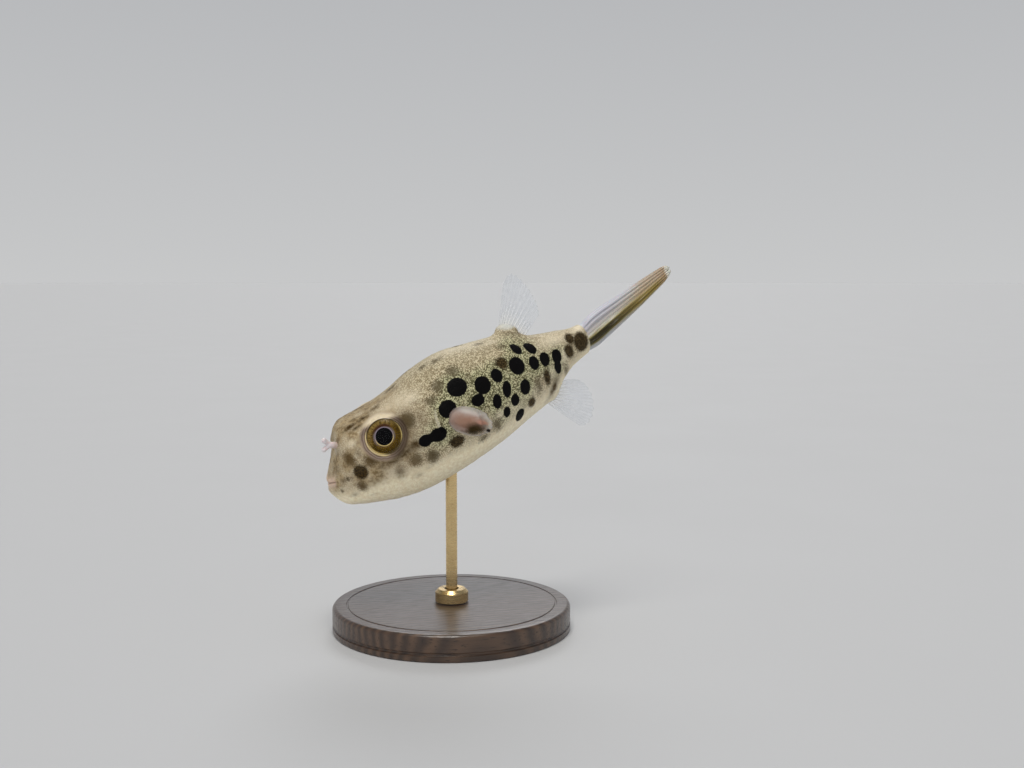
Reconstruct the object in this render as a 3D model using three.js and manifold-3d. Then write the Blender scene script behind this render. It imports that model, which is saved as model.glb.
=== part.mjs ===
// A life-size model of a spotted freshwater pufferfish, swimming nose down, on a plain display stand.
// Millimetres, +Z up. The origin is the middle of the stand's underside and the fish's nose points to -X,
// so its left side faces -Y. The fish is modelled level, with x running back from its snout, in a group
// that is then turned nose down and lifted onto the rod.
import * as THREE from "three";
import { mergeVertices } from "three/addons/utils/BufferGeometryUtils.js";
import Module from "manifold-3d";

const wasm = await Module();
wasm.setup();

// ---- driving dimensions ----
const LENGTH = 58; // snout to the root of the tail fin
const TAIL_FIN = 22.5; // length of the closed tail fin
const GAP = 0.3; // clearance between neighbouring solids
const FIN_THICK = 0.55; // thinnest fin blade
const WELD = 0.04; // corners closer than this after a cut become one

// ---- pose ----
const NOSE_DOWN = THREE.MathUtils.degToRad(22.8);
const BACK_LEAN = THREE.MathUtils.degToRad(8); // the back leans towards the fish's left
const BALANCE_X = 27; // the point behind the snout that sits over the rod
const SWIM_HEIGHT = 42; // height of that point above the floor

// The tail sweeps towards the fish's right from SWEEP_START on.
const SWEEP_START = 40;
const SWEEP_END = 62;
const SWEEP_ANGLE = THREE.MathUtils.degToRad(11);

// ---- body: distance back from the snout, top, bottom, half width, height of the widest level ----
const BODY = [
  [0, -0.4, -7.6, 3.3, -3.6],
  [2, 0.7, -7.9, 4.4, -3.3],
  [3.6, 2.9, -8.3, 5.4, -2.8],
  [4.8, 5.8, -8.8, 6.2, -2.0],
  [6.2, 7.3, -9.2, 7.0, -1.4],
  [8.2, 7.7, -9.8, 7.7, -1.0],
  [11.5, 7.7, -10.7, 8.5, -0.8],
  [17, 8.8, -11.3, 9.2, -0.6],
  [23, 10.7, -10.8, 9.6, -0.2],
  [29, 11.6, -9.9, 9.5, 0],
  [35, 10.9, -8.65, 8.8, 0.3],
  [40.5, 9.9, -7.2, 7.4, 0.6],
  [44.5, 8.1, -6.4, 5.8, 0.8],
  [47.5, 7.2, -5.7, 4.6, 0.9],
  [49.8, 6.6, -3.7, 3.7, 1.0],
  [52.5, 5.9, -2.1, 2.9, 1.4],
  [55, 5.2, -1.4, 2.2, 1.8],
  [58, 5.0, -0.9, 1.6, 2.0],
];
const SNOUT_ROUND = 3.2; // length of the rounded front of the snout
const SECTION_POWER = 2.3; // 2 is an ellipse, more is boxier
const SECTION_POINTS = 28;
const SNOUT_RINGS = 7;
const BODY_RINGS = 34;

// Soft swellings on the body: centre, reach along x, y and z, and how far they stand out. They push
// outwards from the spine, or forwards at the lips.
const EYE_CENTRE = new THREE.Vector3(13.0, 5.9, 3.35); // y is mirrored for the fish's left
const SWELLINGS = [
  // brows
  { at: [10.8, 6.9, 5.2], reach: [4.2, 3.4, 3.0], rise: 0.7, paired: true },
  // lips
  { at: [0.4, 0, -3.6], reach: [1.6, 3.0, 1.5], rise: 0.3, forwards: true },
  // fleshy roots of the pectoral, dorsal and anal fins
  { at: [24.4, 9.4, 2.8], reach: [2.2, 3.0, 2.8], rise: 0.7, paired: true },
  { at: [43.1, 0, 9.7], reach: [2.5, 1.5, 2.8], rise: 2.9 },
  { at: [47.4, 0, -5.8], reach: [2.0, 1.3, 2.2], rise: 0.6 },
];

// ---- eyes ----
const EYE_RADIUS = 3.7;
const EYE_DEPTH = 3.0; // half its thickness along its own axis
const EYE_FORWARD = THREE.MathUtils.degToRad(16);
const EYE_UP = THREE.MathUtils.degToRad(14);

// ---- where the body is parted ----
const GILL_CUT = 24.2;
const TAIL_CUT = 51.6;

// ---- stand ----
const BASE_RADIUS = 23;
const BASE_THICK = 5;
const BASE_BEVEL = 0.8;
const COLLAR_RADIUS = 3.2;
const COLLAR_HEIGHT = 2.4;
const ROD_RADIUS = 1.1;
const ROD_TOP = 35.5;

// ---- helpers ----
const smooth = (t) => t * t * (3 - 2 * t);
const clamp01 = (t) => Math.min(1, Math.max(0, t));

// Column of a table read at x, through a cubic whose slopes come from the neighbouring rows.
function tableAt(rows, column, x) {
  const last = rows.length - 1;
  let at = 0;
  while (at < last - 1 && x > rows[at + 1][0]) at++;
  const slope = (k) => {
    const a = Math.max(0, k - 1);
    const b = Math.min(last, k + 1);
    return (rows[b][column] - rows[a][column]) / (rows[b][0] - rows[a][0]);
  };
  const [x0, x1] = [rows[at][0], rows[at + 1][0]];
  const t = clamp01((x - x0) / (x1 - x0));
  const h = x1 - x0;
  return (
    (2 * t ** 3 - 3 * t ** 2 + 1) * rows[at][column] +
    (t ** 3 - 2 * t ** 2 + t) * h * slope(at) +
    (3 * t ** 2 - 2 * t ** 3) * rows[at + 1][column] +
    (t ** 3 - t ** 2) * h * slope(at + 1)
  );
}

// Sideways place of the spine at x, and its heading.
function sweep(x) {
  const span = SWEEP_END - SWEEP_START;
  const t = clamp01((x - SWEEP_START) / span);
  const bend = (Math.tan(SWEEP_ANGLE) * span * t * t) / 2;
  return bend + Math.tan(SWEEP_ANGLE) * Math.max(0, x - SWEEP_END);
}

// The triangles between rings of count points each, the first ring starting at point number first.
function wall(ringCount, count, first) {
  const faces = [];
  const at = (ring, k) => first + ring * count + (k % count);
  for (let ring = 0; ring < ringCount - 1; ring++)
    for (let k = 0; k < count; k++) {
      faces.push(at(ring, k), at(ring, k + 1), at(ring + 1, k + 1));
      faces.push(at(ring, k), at(ring + 1, k + 1), at(ring + 1, k));
    }
  return faces;
}

function shapeOf(points, faces) {
  const shape = new THREE.BufferGeometry().setFromPoints(points);
  shape.setIndex(faces);
  return shape;
}

// A closed solid from rings of points with equal counts, ended by a fan at each tip.
function loft(rings, tipA, tipB) {
  const count = rings[0].length;
  const points = [tipA, ...rings.flat(), tipB];
  const faces = wall(rings.length, count, 1);
  const last = 1 + (rings.length - 1) * count;
  for (let k = 0; k < count; k++) {
    const next = (k + 1) % count;
    faces.push(0, 1 + next, 1 + k);
    faces.push(points.length - 1, last + k, last + next);
  }
  return shapeOf(points, faces);
}

function solidOf(geometry) {
  const bare = geometry.clone();
  bare.deleteAttribute("normal");
  bare.deleteAttribute("uv");
  const merged = mergeVertices(bare, 1e-4);
  const made = new wasm.Manifold(
    new wasm.Mesh({
      numProp: 3,
      vertProperties: new Float32Array(merged.attributes.position.array),
      triVerts: new Uint32Array(merged.index.array),
    }),
  );
  if (made.volume() > 0) return made;
  const turned = new Uint32Array(merged.index.array).reverse();
  return new wasm.Manifold(
    new wasm.Mesh({
      numProp: 3,
      vertProperties: new Float32Array(merged.attributes.position.array),
      triVerts: turned,
    }),
  );
}

function geometryOf(solid) {
  const mesh = solid.getMesh();
  const places = new Float32Array(mesh.numVert * 3);
  for (let k = 0; k < mesh.numVert; k++)
    places.set(mesh.vertProperties.subarray(k * mesh.numProp, k * mesh.numProp + 3), k * 3);
  const cut = new THREE.BufferGeometry();
  cut.setAttribute("position", new THREE.BufferAttribute(places, 3));
  cut.setIndex(new THREE.BufferAttribute(new Uint32Array(mesh.triVerts), 1));
  const geometry = mergeVertices(cut, WELD);
  // triangles whose corners have become one are left out
  const corners = [];
  for (let k = 0; k < geometry.index.count; k += 3) {
    const [a, b, c] = [0, 1, 2].map((j) => geometry.index.getX(k + j));
    if (a !== b && b !== c && c !== a) corners.push(a, b, c);
  }
  geometry.setIndex(corners);
  geometry.computeVertexNormals();
  return geometry;
}

const box = (x0, x1, reach = 60) =>
  solidOf(new THREE.BoxGeometry(x1 - x0, 2 * reach, 2 * reach).translate((x0 + x1) / 2, 0, 0));

// ---- body ----
// A point on the body's surface, at x behind the snout and an angle round the section, proud by offset.
function bodyPoint(x, angle, offset = 0) {
  const round = x < SNOUT_ROUND ? Math.sqrt(1 - (1 - x / SNOUT_ROUND) ** 2) : 1;
  const [top, bottom, half, level] = [1, 2, 3, 4].map((column) => tableAt(BODY, column, x));
  const power = 2 / SECTION_POWER;
  const [c, s] = [Math.cos(angle), Math.sin(angle)];
  const shape = (v) => Math.sign(v) * Math.abs(v) ** power;
  const reach = s > 0 ? top - level : level - bottom;
  const p = new THREE.Vector3(x, (half * round + offset) * shape(c), level + (reach * round + offset) * shape(s));
  for (const swell of SWELLINGS)
    for (const side of swell.paired ? [-1, 1] : [1]) {
      const centre = new THREE.Vector3(swell.at[0], swell.at[1] * side, swell.at[2]);
      const d = p.clone().sub(centre).divide(new THREE.Vector3(...swell.reach));
      const away = swell.forwards ? new THREE.Vector3(-1, 0, 0) : new THREE.Vector3(0, c, s);
      p.addScaledVector(away, swell.rise * Math.exp(-d.lengthSq()));
    }
  p.y += sweep(x);
  return p;
}

function bodySolid(offset = 0) {
  const places = [];
  for (let k = 1; k <= SNOUT_RINGS; k++)
    places.push(SNOUT_ROUND * (1 - Math.cos(((k / SNOUT_RINGS) * Math.PI) / 2)));
  for (let k = 1; k <= BODY_RINGS; k++) places.push(SNOUT_ROUND + ((LENGTH - SNOUT_ROUND) * k) / BODY_RINGS);
  const rings = places.map((x) =>
    Array.from({ length: SECTION_POINTS }, (_, k) => bodyPoint(x, (k / SECTION_POINTS) * 2 * Math.PI, offset)),
  );
  const front = bodyPoint(0, 0, 0);
  front.x -= offset;
  front.y = 0;
  const back = new THREE.Vector3(LENGTH + offset, sweep(LENGTH), tableAt(BODY, 4, LENGTH));
  return solidOf(loft(rings, front, back));
}

const body = bodySolid();
const bodyClear = bodySolid(GAP);

// ---- eyes ----
function eyeSolid(side, grow = 0) {
  const ball = new THREE.SphereGeometry(1, 24, 16);
  ball.scale(EYE_RADIUS + grow, EYE_DEPTH + grow, EYE_RADIUS + grow);
  ball.rotateX(side * EYE_UP);
  ball.rotateZ(side * EYE_FORWARD);
  ball.translate(EYE_CENTRE.x, side * EYE_CENTRE.y, EYE_CENTRE.z);
  return solidOf(ball);
}

// ---- fins ----
// A thin closed blade round a middle surface given by at(u, v), u along the root and v out to the margin.
function blade(at, thick, acrossSteps = 12, alongSteps = 8) {
  const rings = [];
  const e = 1e-3;
  for (let j = 0; j <= alongSteps; j++) {
    const v = j / alongSteps;
    const upper = [];
    const lower = [];
    for (let k = 0; k <= acrossSteps; k++) {
      const u = k / acrossSteps;
      const p = at(u, v);
      const du = at(Math.min(1, u + e), v).sub(at(Math.max(0, u - e), v));
      const dv = at(u, Math.min(1, v + e)).sub(at(u, Math.max(0, v - e)));
      const n = du.cross(dv).normalize();
      const half = thick(u, v) / 2;
      upper.push(p.clone().addScaledVector(n, half));
      lower.push(p.clone().addScaledVector(n, -half));
    }
    rings.push([...upper, ...lower.reverse()]);
  }
  // the root and the margin are closed by a strip between the blade's two sides
  const count = rings[0].length;
  const faces = wall(rings.length, count, 0);
  const last = (rings.length - 1) * count;
  for (let k = 0; k < acrossSteps; k++) {
    const [a, b, c, d] = [k, k + 1, count - 2 - k, count - 1 - k];
    faces.push(a, c, b, a, d, c);
    faces.push(last + a, last + b, last + c, last + a, last + c, last + d);
  }
  return solidOf(shapeOf(rings.flat(), faces));
}

// A fan of rays standing in the fish's middle plane. The rays start on the skin from x = root[0] to
// x = root[1], and their tips are set by a line inside the body from a to b, ray angles and lengths.
function middleFin({ root, a, b, lean, reach, side, wave }) {
  const at = (u, v) => {
    const foot = bodyPoint(THREE.MathUtils.lerp(...root, u), (side * Math.PI) / 2, GAP);
    const angle = THREE.MathUtils.degToRad(THREE.MathUtils.lerp(...lean, smooth(u)));
    const tip = new THREE.Vector3().lerpVectors(a, b, u);
    tip.add(new THREE.Vector3(Math.sin(angle), 0, side * Math.cos(angle)).multiplyScalar(reach(u)));
    tip.y += sweep(tip.x) + wave * Math.sin(u * Math.PI * 1.5);
    const p = foot.clone().lerp(tip, v);
    p.y = THREE.MathUtils.lerp(foot.y, tip.y, v * v);
    return p;
  };
  return blade(at, (u, v) => THREE.MathUtils.lerp(0.8, FIN_THICK, v));
}

const DORSAL = {
  root: [41.2, 45.7],
  a: new THREE.Vector3(40.8, 0, 10.6),
  b: new THREE.Vector3(45.8, 0, 8.0),
  lean: [29, 58],
  reach: (u) => 14.6 - 9.7 * u - 5.2 * (1 - u) ** 8,
  side: 1,
  wave: 0.5,
};
const ANAL = {
  root: [45.0, 49.4],
  a: new THREE.Vector3(44.9, 0, -6.6),
  b: new THREE.Vector3(49.0, 0, -4.0),
  lean: [36, 76],
  reach: (u) => 11.6 - 7.7 * u ** 1.9 - 2.4 * (1 - u) ** 6,
  side: -1,
  wave: -0.5,
};

// The paired fins are cupped paddles, thickest along the middle, swung back, down and out from the flank.
const PECTORAL = {
  rootX: [24.9, 24.5], // from the top of the root to its foot
  rootAngle: [23, 2], // round the body's section, in degrees
  proud: 0.35, // beyond the clearance, so that the blade's thickness stays clear of the body
  lineTop: [24.8, 8.7, 4.9], // the tips are set out from this line
  lineFoot: [24.1, 8.7, 2.1],
  slope: [-20, -50], // of the upper and the lowest ray, in degrees
  length: 7.9,
  flare: 0.6, // outwards for each millimetre along a ray
  thick: 1.1, // extra thickness in the middle
};
function pectoralSolid(side) {
  const top = new THREE.Vector3(...PECTORAL.lineTop);
  const foot = new THREE.Vector3(...PECTORAL.lineFoot);
  const at = (u, v) => {
    const edge = Math.abs(2 * u - 1);
    const rootAngle = THREE.MathUtils.degToRad(THREE.MathUtils.lerp(...PECTORAL.rootAngle, u));
    const root = bodyPoint(THREE.MathUtils.lerp(...PECTORAL.rootX, u), rootAngle, GAP + PECTORAL.proud);
    const slope = THREE.MathUtils.degToRad(THREE.MathUtils.lerp(...PECTORAL.slope, u));
    const along = PECTORAL.length * (1 - 0.4 * edge ** 2.2);
    const tip = new THREE.Vector3().lerpVectors(top, foot, u);
    tip.add(new THREE.Vector3(Math.cos(slope), 0, Math.sin(slope)).multiplyScalar(along));
    tip.y += PECTORAL.flare * along - 0.8 * edge ** 2 - 0.5;
    const p = root.lerp(tip, v);
    p.y += 2 * v * (1 - v);
    p.y *= side;
    return p;
  };
  const thick = (u, v) => FIN_THICK + PECTORAL.thick * Math.sin(Math.PI * Math.min(1, 1.4 * v)) * 4 * u * (1 - u);
  return blade(at, thick, 10, 8);
}

// The closed tail fin: a slim blade that narrows to a blunt tip, turned up and swept aside with the tail.
const TAIL_RISE = 4.3;
function tailFinSolid() {
  const rings = [];
  const steps = 12;
  const count = 12;
  const middleOf = (v) => {
    const x = LENGTH + GAP + (TAIL_FIN - GAP) * v;
    return new THREE.Vector3(x, sweep(x), 2.0 + TAIL_RISE * v);
  };
  const highOf = (v) => 3.35 - 1.1 * v - 0.8 * v ** 3;
  const wideOf = (v) => THREE.MathUtils.lerp(1.25, 0.45, v);
  for (let j = 0; j <= steps; j++) {
    const v = j / steps;
    const end = v > 0.97 ? 0.75 : 1;
    rings.push(
      Array.from({ length: count }, (_, k) => {
        const angle = (k / count) * 2 * Math.PI;
        const p = middleOf(v);
        p.y += wideOf(v) * Math.cos(angle);
        p.z += highOf(v) * end * Math.sin(angle);
        return p;
      }),
    );
  }
  const tip = middleOf(1);
  tip.x += 0.4;
  return solidOf(loft(rings, middleOf(0), tip));
}

// ---- nasal tentacles: a short stalk that forks into two rounded flaps ----
function flap(from, to, radius, flat) {
  const start = new THREE.Vector3(...from);
  const end = new THREE.Vector3(...to);
  const way = end.clone().sub(start);
  const shape = new THREE.SphereGeometry(1, 10, 8);
  shape.scale(radius, way.length() / 2 + radius * 0.5, radius * flat);
  shape.applyQuaternion(new THREE.Quaternion().setFromUnitVectors(new THREE.Vector3(0, 1, 0), way.normalize()));
  shape.translate(...start.lerp(end, 0.5).toArray());
  return solidOf(shape);
}

// The left one stands forward, the right one is swept back against the cheek.
const TENTACLES = {
  left: [
    [4.6, -2.6, 3.8],
    [2.9, -3.0, 4.6],
    [2.0, -3.2, 6.1],
    [1.3, -3.3, 4.6],
  ],
  right: [
    [4.5, 2.6, 3.8],
    [5.2, 4.8, 4.6],
    [6.2, 5.3, 5.9],
    [6.3, 6.2, 4.4],
  ],
};
function tentacleSolid([root, fork, upper, lower]) {
  return flap(root, fork, 0.62, 0.9)
    .add(flap(fork, upper, 0.55, 0.8))
    .add(flap(fork, lower, 0.55, 0.8));
}

// ---- the fish, level ----
const colours = {
  skin: [0xb9ab82, 0.5],
  fin: [0xc9cbb8, 0.4],
  eye: [0x9a7d24, 0.1],
  tentacle: [0xd9c4bd, 0.5],
  base: [0x2b2521, 0.45],
  metal: [0xb5924c, 0.3],
};

function mesh(name, geometry, finish) {
  const [color, roughness] = colours[finish];
  const metalness = finish === "metal" ? 1 : 0;
  const made = new THREE.Mesh(geometry, new THREE.MeshStandardMaterial({ color, roughness, metalness }));
  made.name = name;
  return made;
}

const fish = new THREE.Group();
fish.rotation.set(BACK_LEAN, -NOSE_DOWN, 0, "ZYX");
fish.position
  .set(-BALANCE_X, 0, 0)
  .applyEuler(fish.rotation)
  .add(new THREE.Vector3(0, 0, SWIM_HEIGHT));
fish.updateMatrixWorld(true);

// The rod's clearance, turned into the level fish's frame.
const rodHole = new THREE.CylinderGeometry(ROD_RADIUS + GAP, ROD_RADIUS + GAP, ROD_TOP + GAP, 24);
rodHole.rotateX(Math.PI / 2).translate(0, 0, (ROD_TOP + GAP) / 2);
rodHole.applyMatrix4(fish.matrixWorld.clone().invert());

const sides = { left: -1, right: 1 };
let flesh = body;
for (const side of Object.values(sides)) flesh = flesh.subtract(eyeSolid(side, GAP));
flesh = flesh.subtract(solidOf(rodHole));

const addSolid = (name, solid, finish) => fish.add(mesh(name, geometryOf(solid), finish));
addSolid("head", flesh.intersect(box(-10, GILL_CUT - GAP / 2)), "skin");
addSolid("trunk", flesh.intersect(box(GILL_CUT + GAP / 2, TAIL_CUT - GAP / 2)), "skin");
addSolid("tail", flesh.intersect(box(TAIL_CUT + GAP / 2, LENGTH + 10)), "skin");
addSolid("tail_fin", tailFinSolid(), "fin");
addSolid("dorsal_fin", middleFin(DORSAL), "fin");
addSolid("anal_fin", middleFin(ANAL), "fin");
for (const [name, side] of Object.entries(sides)) {
  addSolid(`eye_${name}`, eyeSolid(side), "eye");
  addSolid(`pectoral_fin_${name}`, pectoralSolid(side), "fin");
  addSolid(`nasal_tentacle_${name}`, tentacleSolid(TENTACLES[name]).subtract(bodyClear), "tentacle");
}

// ---- stand ----
function turned(profile) {
  return new THREE.LatheGeometry(
    profile.map(([r, z]) => new THREE.Vector2(r, z)),
    48,
  ).rotateX(Math.PI / 2);
}

const stand = new THREE.Group();
const baseTop = BASE_THICK;
stand.add(
  mesh(
    "stand_base",
    turned([
      [0, 0],
      [BASE_RADIUS, 0],
      [BASE_RADIUS, baseTop - BASE_BEVEL],
      [BASE_RADIUS - BASE_BEVEL, baseTop],
      [0, baseTop],
    ]),
    "base",
  ),
);
const collarTop = baseTop + GAP + COLLAR_HEIGHT;
stand.add(
  mesh(
    "stand_collar",
    turned([
      [ROD_RADIUS + GAP, baseTop + GAP],
      [COLLAR_RADIUS, baseTop + GAP],
      [COLLAR_RADIUS, collarTop - 0.6],
      [COLLAR_RADIUS - 0.6, collarTop],
      [ROD_RADIUS + GAP, collarTop],
      [ROD_RADIUS + GAP, baseTop + GAP],
    ]),
    "metal",
  ),
);
stand.add(
  mesh(
    "stand_rod",
    turned([
      [0, baseTop + GAP],
      [ROD_RADIUS, baseTop + GAP],
      [ROD_RADIUS, ROD_TOP],
      [0, ROD_TOP],
    ]),
    "metal",
  ),
);

const part = new THREE.Group();
part.add(fish, stand);
export default part;
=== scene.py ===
import math
import random

import bmesh
import bpy
import numpy as np
from mathutils import Matrix, Vector, noise


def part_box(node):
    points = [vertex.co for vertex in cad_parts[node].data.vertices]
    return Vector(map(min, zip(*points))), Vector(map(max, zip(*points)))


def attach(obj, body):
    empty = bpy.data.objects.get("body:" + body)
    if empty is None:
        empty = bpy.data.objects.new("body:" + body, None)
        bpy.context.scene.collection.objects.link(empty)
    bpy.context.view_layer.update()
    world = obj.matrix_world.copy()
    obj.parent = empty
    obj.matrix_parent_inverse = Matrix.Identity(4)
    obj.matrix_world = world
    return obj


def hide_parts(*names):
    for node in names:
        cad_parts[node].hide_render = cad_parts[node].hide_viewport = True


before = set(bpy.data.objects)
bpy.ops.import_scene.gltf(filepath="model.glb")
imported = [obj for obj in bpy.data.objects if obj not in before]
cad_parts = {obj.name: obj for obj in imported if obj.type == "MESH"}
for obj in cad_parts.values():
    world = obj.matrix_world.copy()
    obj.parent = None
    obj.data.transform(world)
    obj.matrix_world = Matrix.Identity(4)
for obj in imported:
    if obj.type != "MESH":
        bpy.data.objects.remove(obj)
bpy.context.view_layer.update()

MM = 0.001
SIDES = (("left", -1), ("right", 1))
FAR = 10.0  # stands for a long way from an eye, in millimetres

# ---- the frame's driving sizes ----
LENGTH = 58.0  # snout to the root of the tail fin
TAIL_FIN = 22.5
NOSE_DOWN = math.radians(22.8)
BACK_LEAN = math.radians(8)
BALANCE_X = 27.0
SWIM_HEIGHT = 42.0
SWEEP_START = 40.0
SWEEP_END = 62.0
SWEEP_ANGLE = math.radians(11)
# distance back from the snout, top, bottom, half width, height of the widest level
BODY = np.array([
    [0, -0.4, -7.6, 3.3, -3.6],
    [2, 0.7, -7.9, 4.4, -3.3],
    [3.6, 2.9, -8.3, 5.4, -2.8],
    [4.8, 5.8, -8.8, 6.2, -2.0],
    [6.2, 7.3, -9.2, 7.0, -1.4],
    [8.2, 7.7, -9.8, 7.7, -1.0],
    [11.5, 7.7, -10.7, 8.5, -0.8],
    [17, 8.8, -11.3, 9.2, -0.6],
    [23, 10.7, -10.8, 9.6, -0.2],
    [29, 11.6, -9.9, 9.5, 0],
    [35, 10.9, -8.65, 8.8, 0.3],
    [40.5, 9.9, -7.2, 7.4, 0.6],
    [44.5, 8.1, -6.4, 5.8, 0.8],
    [47.5, 7.2, -5.7, 4.6, 0.9],
    [49.8, 6.6, -3.7, 3.7, 1.0],
    [52.5, 5.9, -2.1, 2.9, 1.4],
    [55, 5.2, -1.4, 2.2, 1.8],
    [58, 5.0, -0.9, 1.6, 2.0],
])
SNOUT_ROUND = 3.2
SECTION_POWER = 2.3
STUB_X = LENGTH - 1  # the root of the tail is rounded off behind there
STUB_ROUND = 1.6
# soft swellings: centre, reach along x, y and z, rise, on both sides, forwards instead of outwards
SWELLINGS = [
    ((10.8, 6.9, 5.2), (4.2, 3.4, 3.0), 0.7, True, False),  # brows
    ((0.4, 0, -3.6), (1.6, 3.0, 1.5), 0.3, False, True),  # lips
    ((24.4, 9.4, 2.8), (2.2, 3.0, 2.8), 0.7, True, False),  # roots of the pectoral fins
    ((43.1, 0, 9.7), (2.5, 1.5, 2.8), 2.9, False, False),  # root of the dorsal fin
    ((47.4, 0, -5.8), (2.0, 1.3, 2.2), 0.6, False, False),  # root of the anal fin
]

# ---- the head's openings ----
MOUTH_HEIGHT = -2.15
MOUTH_HALF_WIDTH = 3.5
GILL_X = 23.3
GILL_HEIGHT = 2.0
NOSTRIL = np.array([4.6, 2.6, 3.8])

# ---- eyes ----
EYE_CENTRE = np.array([13.0, 5.9, 3.35])  # y is mirrored for the left
EYE_FORWARD = math.radians(16)
EYE_UP = math.radians(14)
RIM_HEIGHT = 1.70  # the ring of skin stands this far out from the eye's centre
RIM_TILT = (0.10, -0.215)  # and more ahead and below, less behind and above
RIM_RADIUS = 3.3
IRIS_RADIUS = 3.36
PUPIL_RADIUS = 1.58
EYE_AROUND = 128

# ---- the skin's mesh ----
SKIN_AROUND = 256
SKIN_RINGS = 336


# ======== the fish's form ========
def smooth(t):
    t = np.clip(t, 0, 1)
    return t * t * (3 - 2 * t)


def mound(d, reach):
    return np.exp(-((d / reach) ** 2))


def arc(t):
    """Height of a round arch of radius 1, at t from its middle."""
    return np.sqrt(np.clip(1 - t**2, 0, 1))


def bent(t, power):
    """t raised to a power, with its sign kept."""
    return np.sign(t) * np.abs(t) ** power


def ripple(t):
    """1 at each whole t, and 0 halfway between."""
    return 0.5 + 0.5 * np.cos(2 * math.pi * t)


def body_row(column, x):
    """A column of BODY at x, through a cubic whose slopes come from the neighbouring rows."""
    at, value = BODY[:, 0], BODY[:, column]
    last = len(at) - 1
    k = np.clip(np.searchsorted(at, x, side="right") - 1, 0, last - 1)

    def slope(row):
        a, b = np.maximum(row - 1, 0), np.minimum(row + 1, last)
        return (value[b] - value[a]) / (at[b] - at[a])

    step = at[k + 1] - at[k]
    t = np.clip((x - at[k]) / step, 0, 1)
    return (
        (2 * t**3 - 3 * t**2 + 1) * value[k]
        + (t**3 - 2 * t**2 + t) * step * slope(k)
        + (3 * t**2 - 2 * t**3) * value[k + 1]
        + (t**3 - t**2) * step * slope(k + 1)
    )


def sweep(x):
    """Sideways place of the spine."""
    span = SWEEP_END - SWEEP_START
    t = np.clip((x - SWEEP_START) / span, 0, 1)
    return math.tan(SWEEP_ANGLE) * (span * t * t / 2 + np.maximum(0, x - SWEEP_END))


def body_skin(x, angle):
    """Points on the bare body, at x behind the snout and an angle round the section."""
    x, angle = np.broadcast_arrays(np.asarray(x, float), np.asarray(angle, float))
    front, back = arc(1 - x / SNOUT_ROUND), arc((x - STUB_X) / STUB_ROUND)
    width = np.where(x < SNOUT_ROUND, front, np.where(x > STUB_X, back, 1))
    top, bottom, half, level = (body_row(column, x) for column in (1, 2, 3, 4))
    c, s = np.cos(angle), np.sin(angle)
    power = 2 / SECTION_POWER
    reach = np.where(s > 0, top - level, level - bottom)
    points = np.stack([
        x,
        half * width * bent(c, power),
        level + reach * width * bent(s, power),
    ], -1)
    outward = np.stack([0 * x, c, s], -1)
    for at, extent, rise, paired, forwards in SWELLINGS:
        for side in (-1, 1) if paired else (1,):
            centre = np.array([at[0], at[1] * side, at[2]])
            push = rise * np.exp(-(((points - centre) / extent) ** 2).sum(-1))
            away = np.array([-1.0, 0, 0]) if forwards else outward
            points = points + away * push[..., None]
    points[..., 1] += sweep(x)
    return points


TURN = np.array(
    Matrix.Rotation(-NOSE_DOWN, 3, "Y") @ Matrix.Rotation(BACK_LEAN, 3, "X")
)
LIFT = TURN @ np.array([-BALANCE_X, 0, 0]) + np.array([0, 0, SWIM_HEIGHT])


def on_stand(points):
    """From the level fish in millimetres to the frame in metres."""
    return (points @ TURN.T + LIFT) * MM


def eye_axes(side):
    """The eye's centre, and its directions out, forwards and up."""
    out = Vector((0, side * math.cos(EYE_UP), math.sin(EYE_UP)))
    out.rotate(Matrix.Rotation(side * EYE_FORWARD, 3, "Z"))
    up = (Vector((0, 0, 1)) - out * out.z).normalized()
    fore = up.cross(out) * side
    return EYE_CENTRE * np.array([1, side, 1]), np.array(out), np.array(fore), np.array(up)


def rim_level(ahead, above):
    """Height of the ring of skin round an eye, along the eye's axis."""
    return RIM_HEIGHT + RIM_TILT[0] * ahead + RIM_TILT[1] * above


# ======== pieces ========
def set_out(name, thing):
    """Puts a mesh, a lamp or a camera in the scene."""
    holder = bpy.data.objects.new(name, thing)
    bpy.context.scene.collection.objects.link(holder)
    return holder


def new_piece(name, bm):
    mesh = bpy.data.meshes.new(name)
    bm.to_mesh(mesh)
    bm.free()
    return set_out(name, mesh)


def unit_ball(name, around, rings, unwrapped=False):
    """A ball of radius 1 to be shaped, with its points, their angle round it and their share of the way
    from its top to its bottom."""
    bm = bmesh.new()
    if unwrapped:
        bm.loops.layers.uv.new("OFBake")
    bmesh.ops.create_uvsphere(bm, u_segments=around, v_segments=rings, radius=1, calc_uvs=unwrapped)
    piece = new_piece(name, bm)
    ball = read_points(piece.data)
    polar = np.arccos(np.clip(ball[:, 2], -1, 1)) / math.pi
    return piece, ball, np.arctan2(ball[:, 1], ball[:, 0]), polar


def read_points(mesh, what="co"):
    values = np.empty(len(mesh.vertices) * 3)
    mesh.vertices.foreach_get(what, values)
    return values.reshape(-1, 3)


def move_points(mesh, points):
    mesh.vertices.foreach_set("co", np.asarray(points, np.float32).ravel())
    mesh.update()


def face_outwards(piece):
    bm = bmesh.new()
    bm.from_mesh(piece.data)
    bmesh.ops.recalc_face_normals(bm, faces=bm.faces[:])
    bm.to_mesh(piece.data)
    bm.free()


def keep(mesh, name, *columns):
    """Stores up to three values for each point, which the finish reads."""
    values = np.ones((len(mesh.vertices), 4), np.float32)
    for k, column in enumerate(columns):
        values[:, k] = column
    mesh.attributes.new(name, "FLOAT_COLOR", "POINT").data.foreach_set("color", values.ravel())


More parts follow.
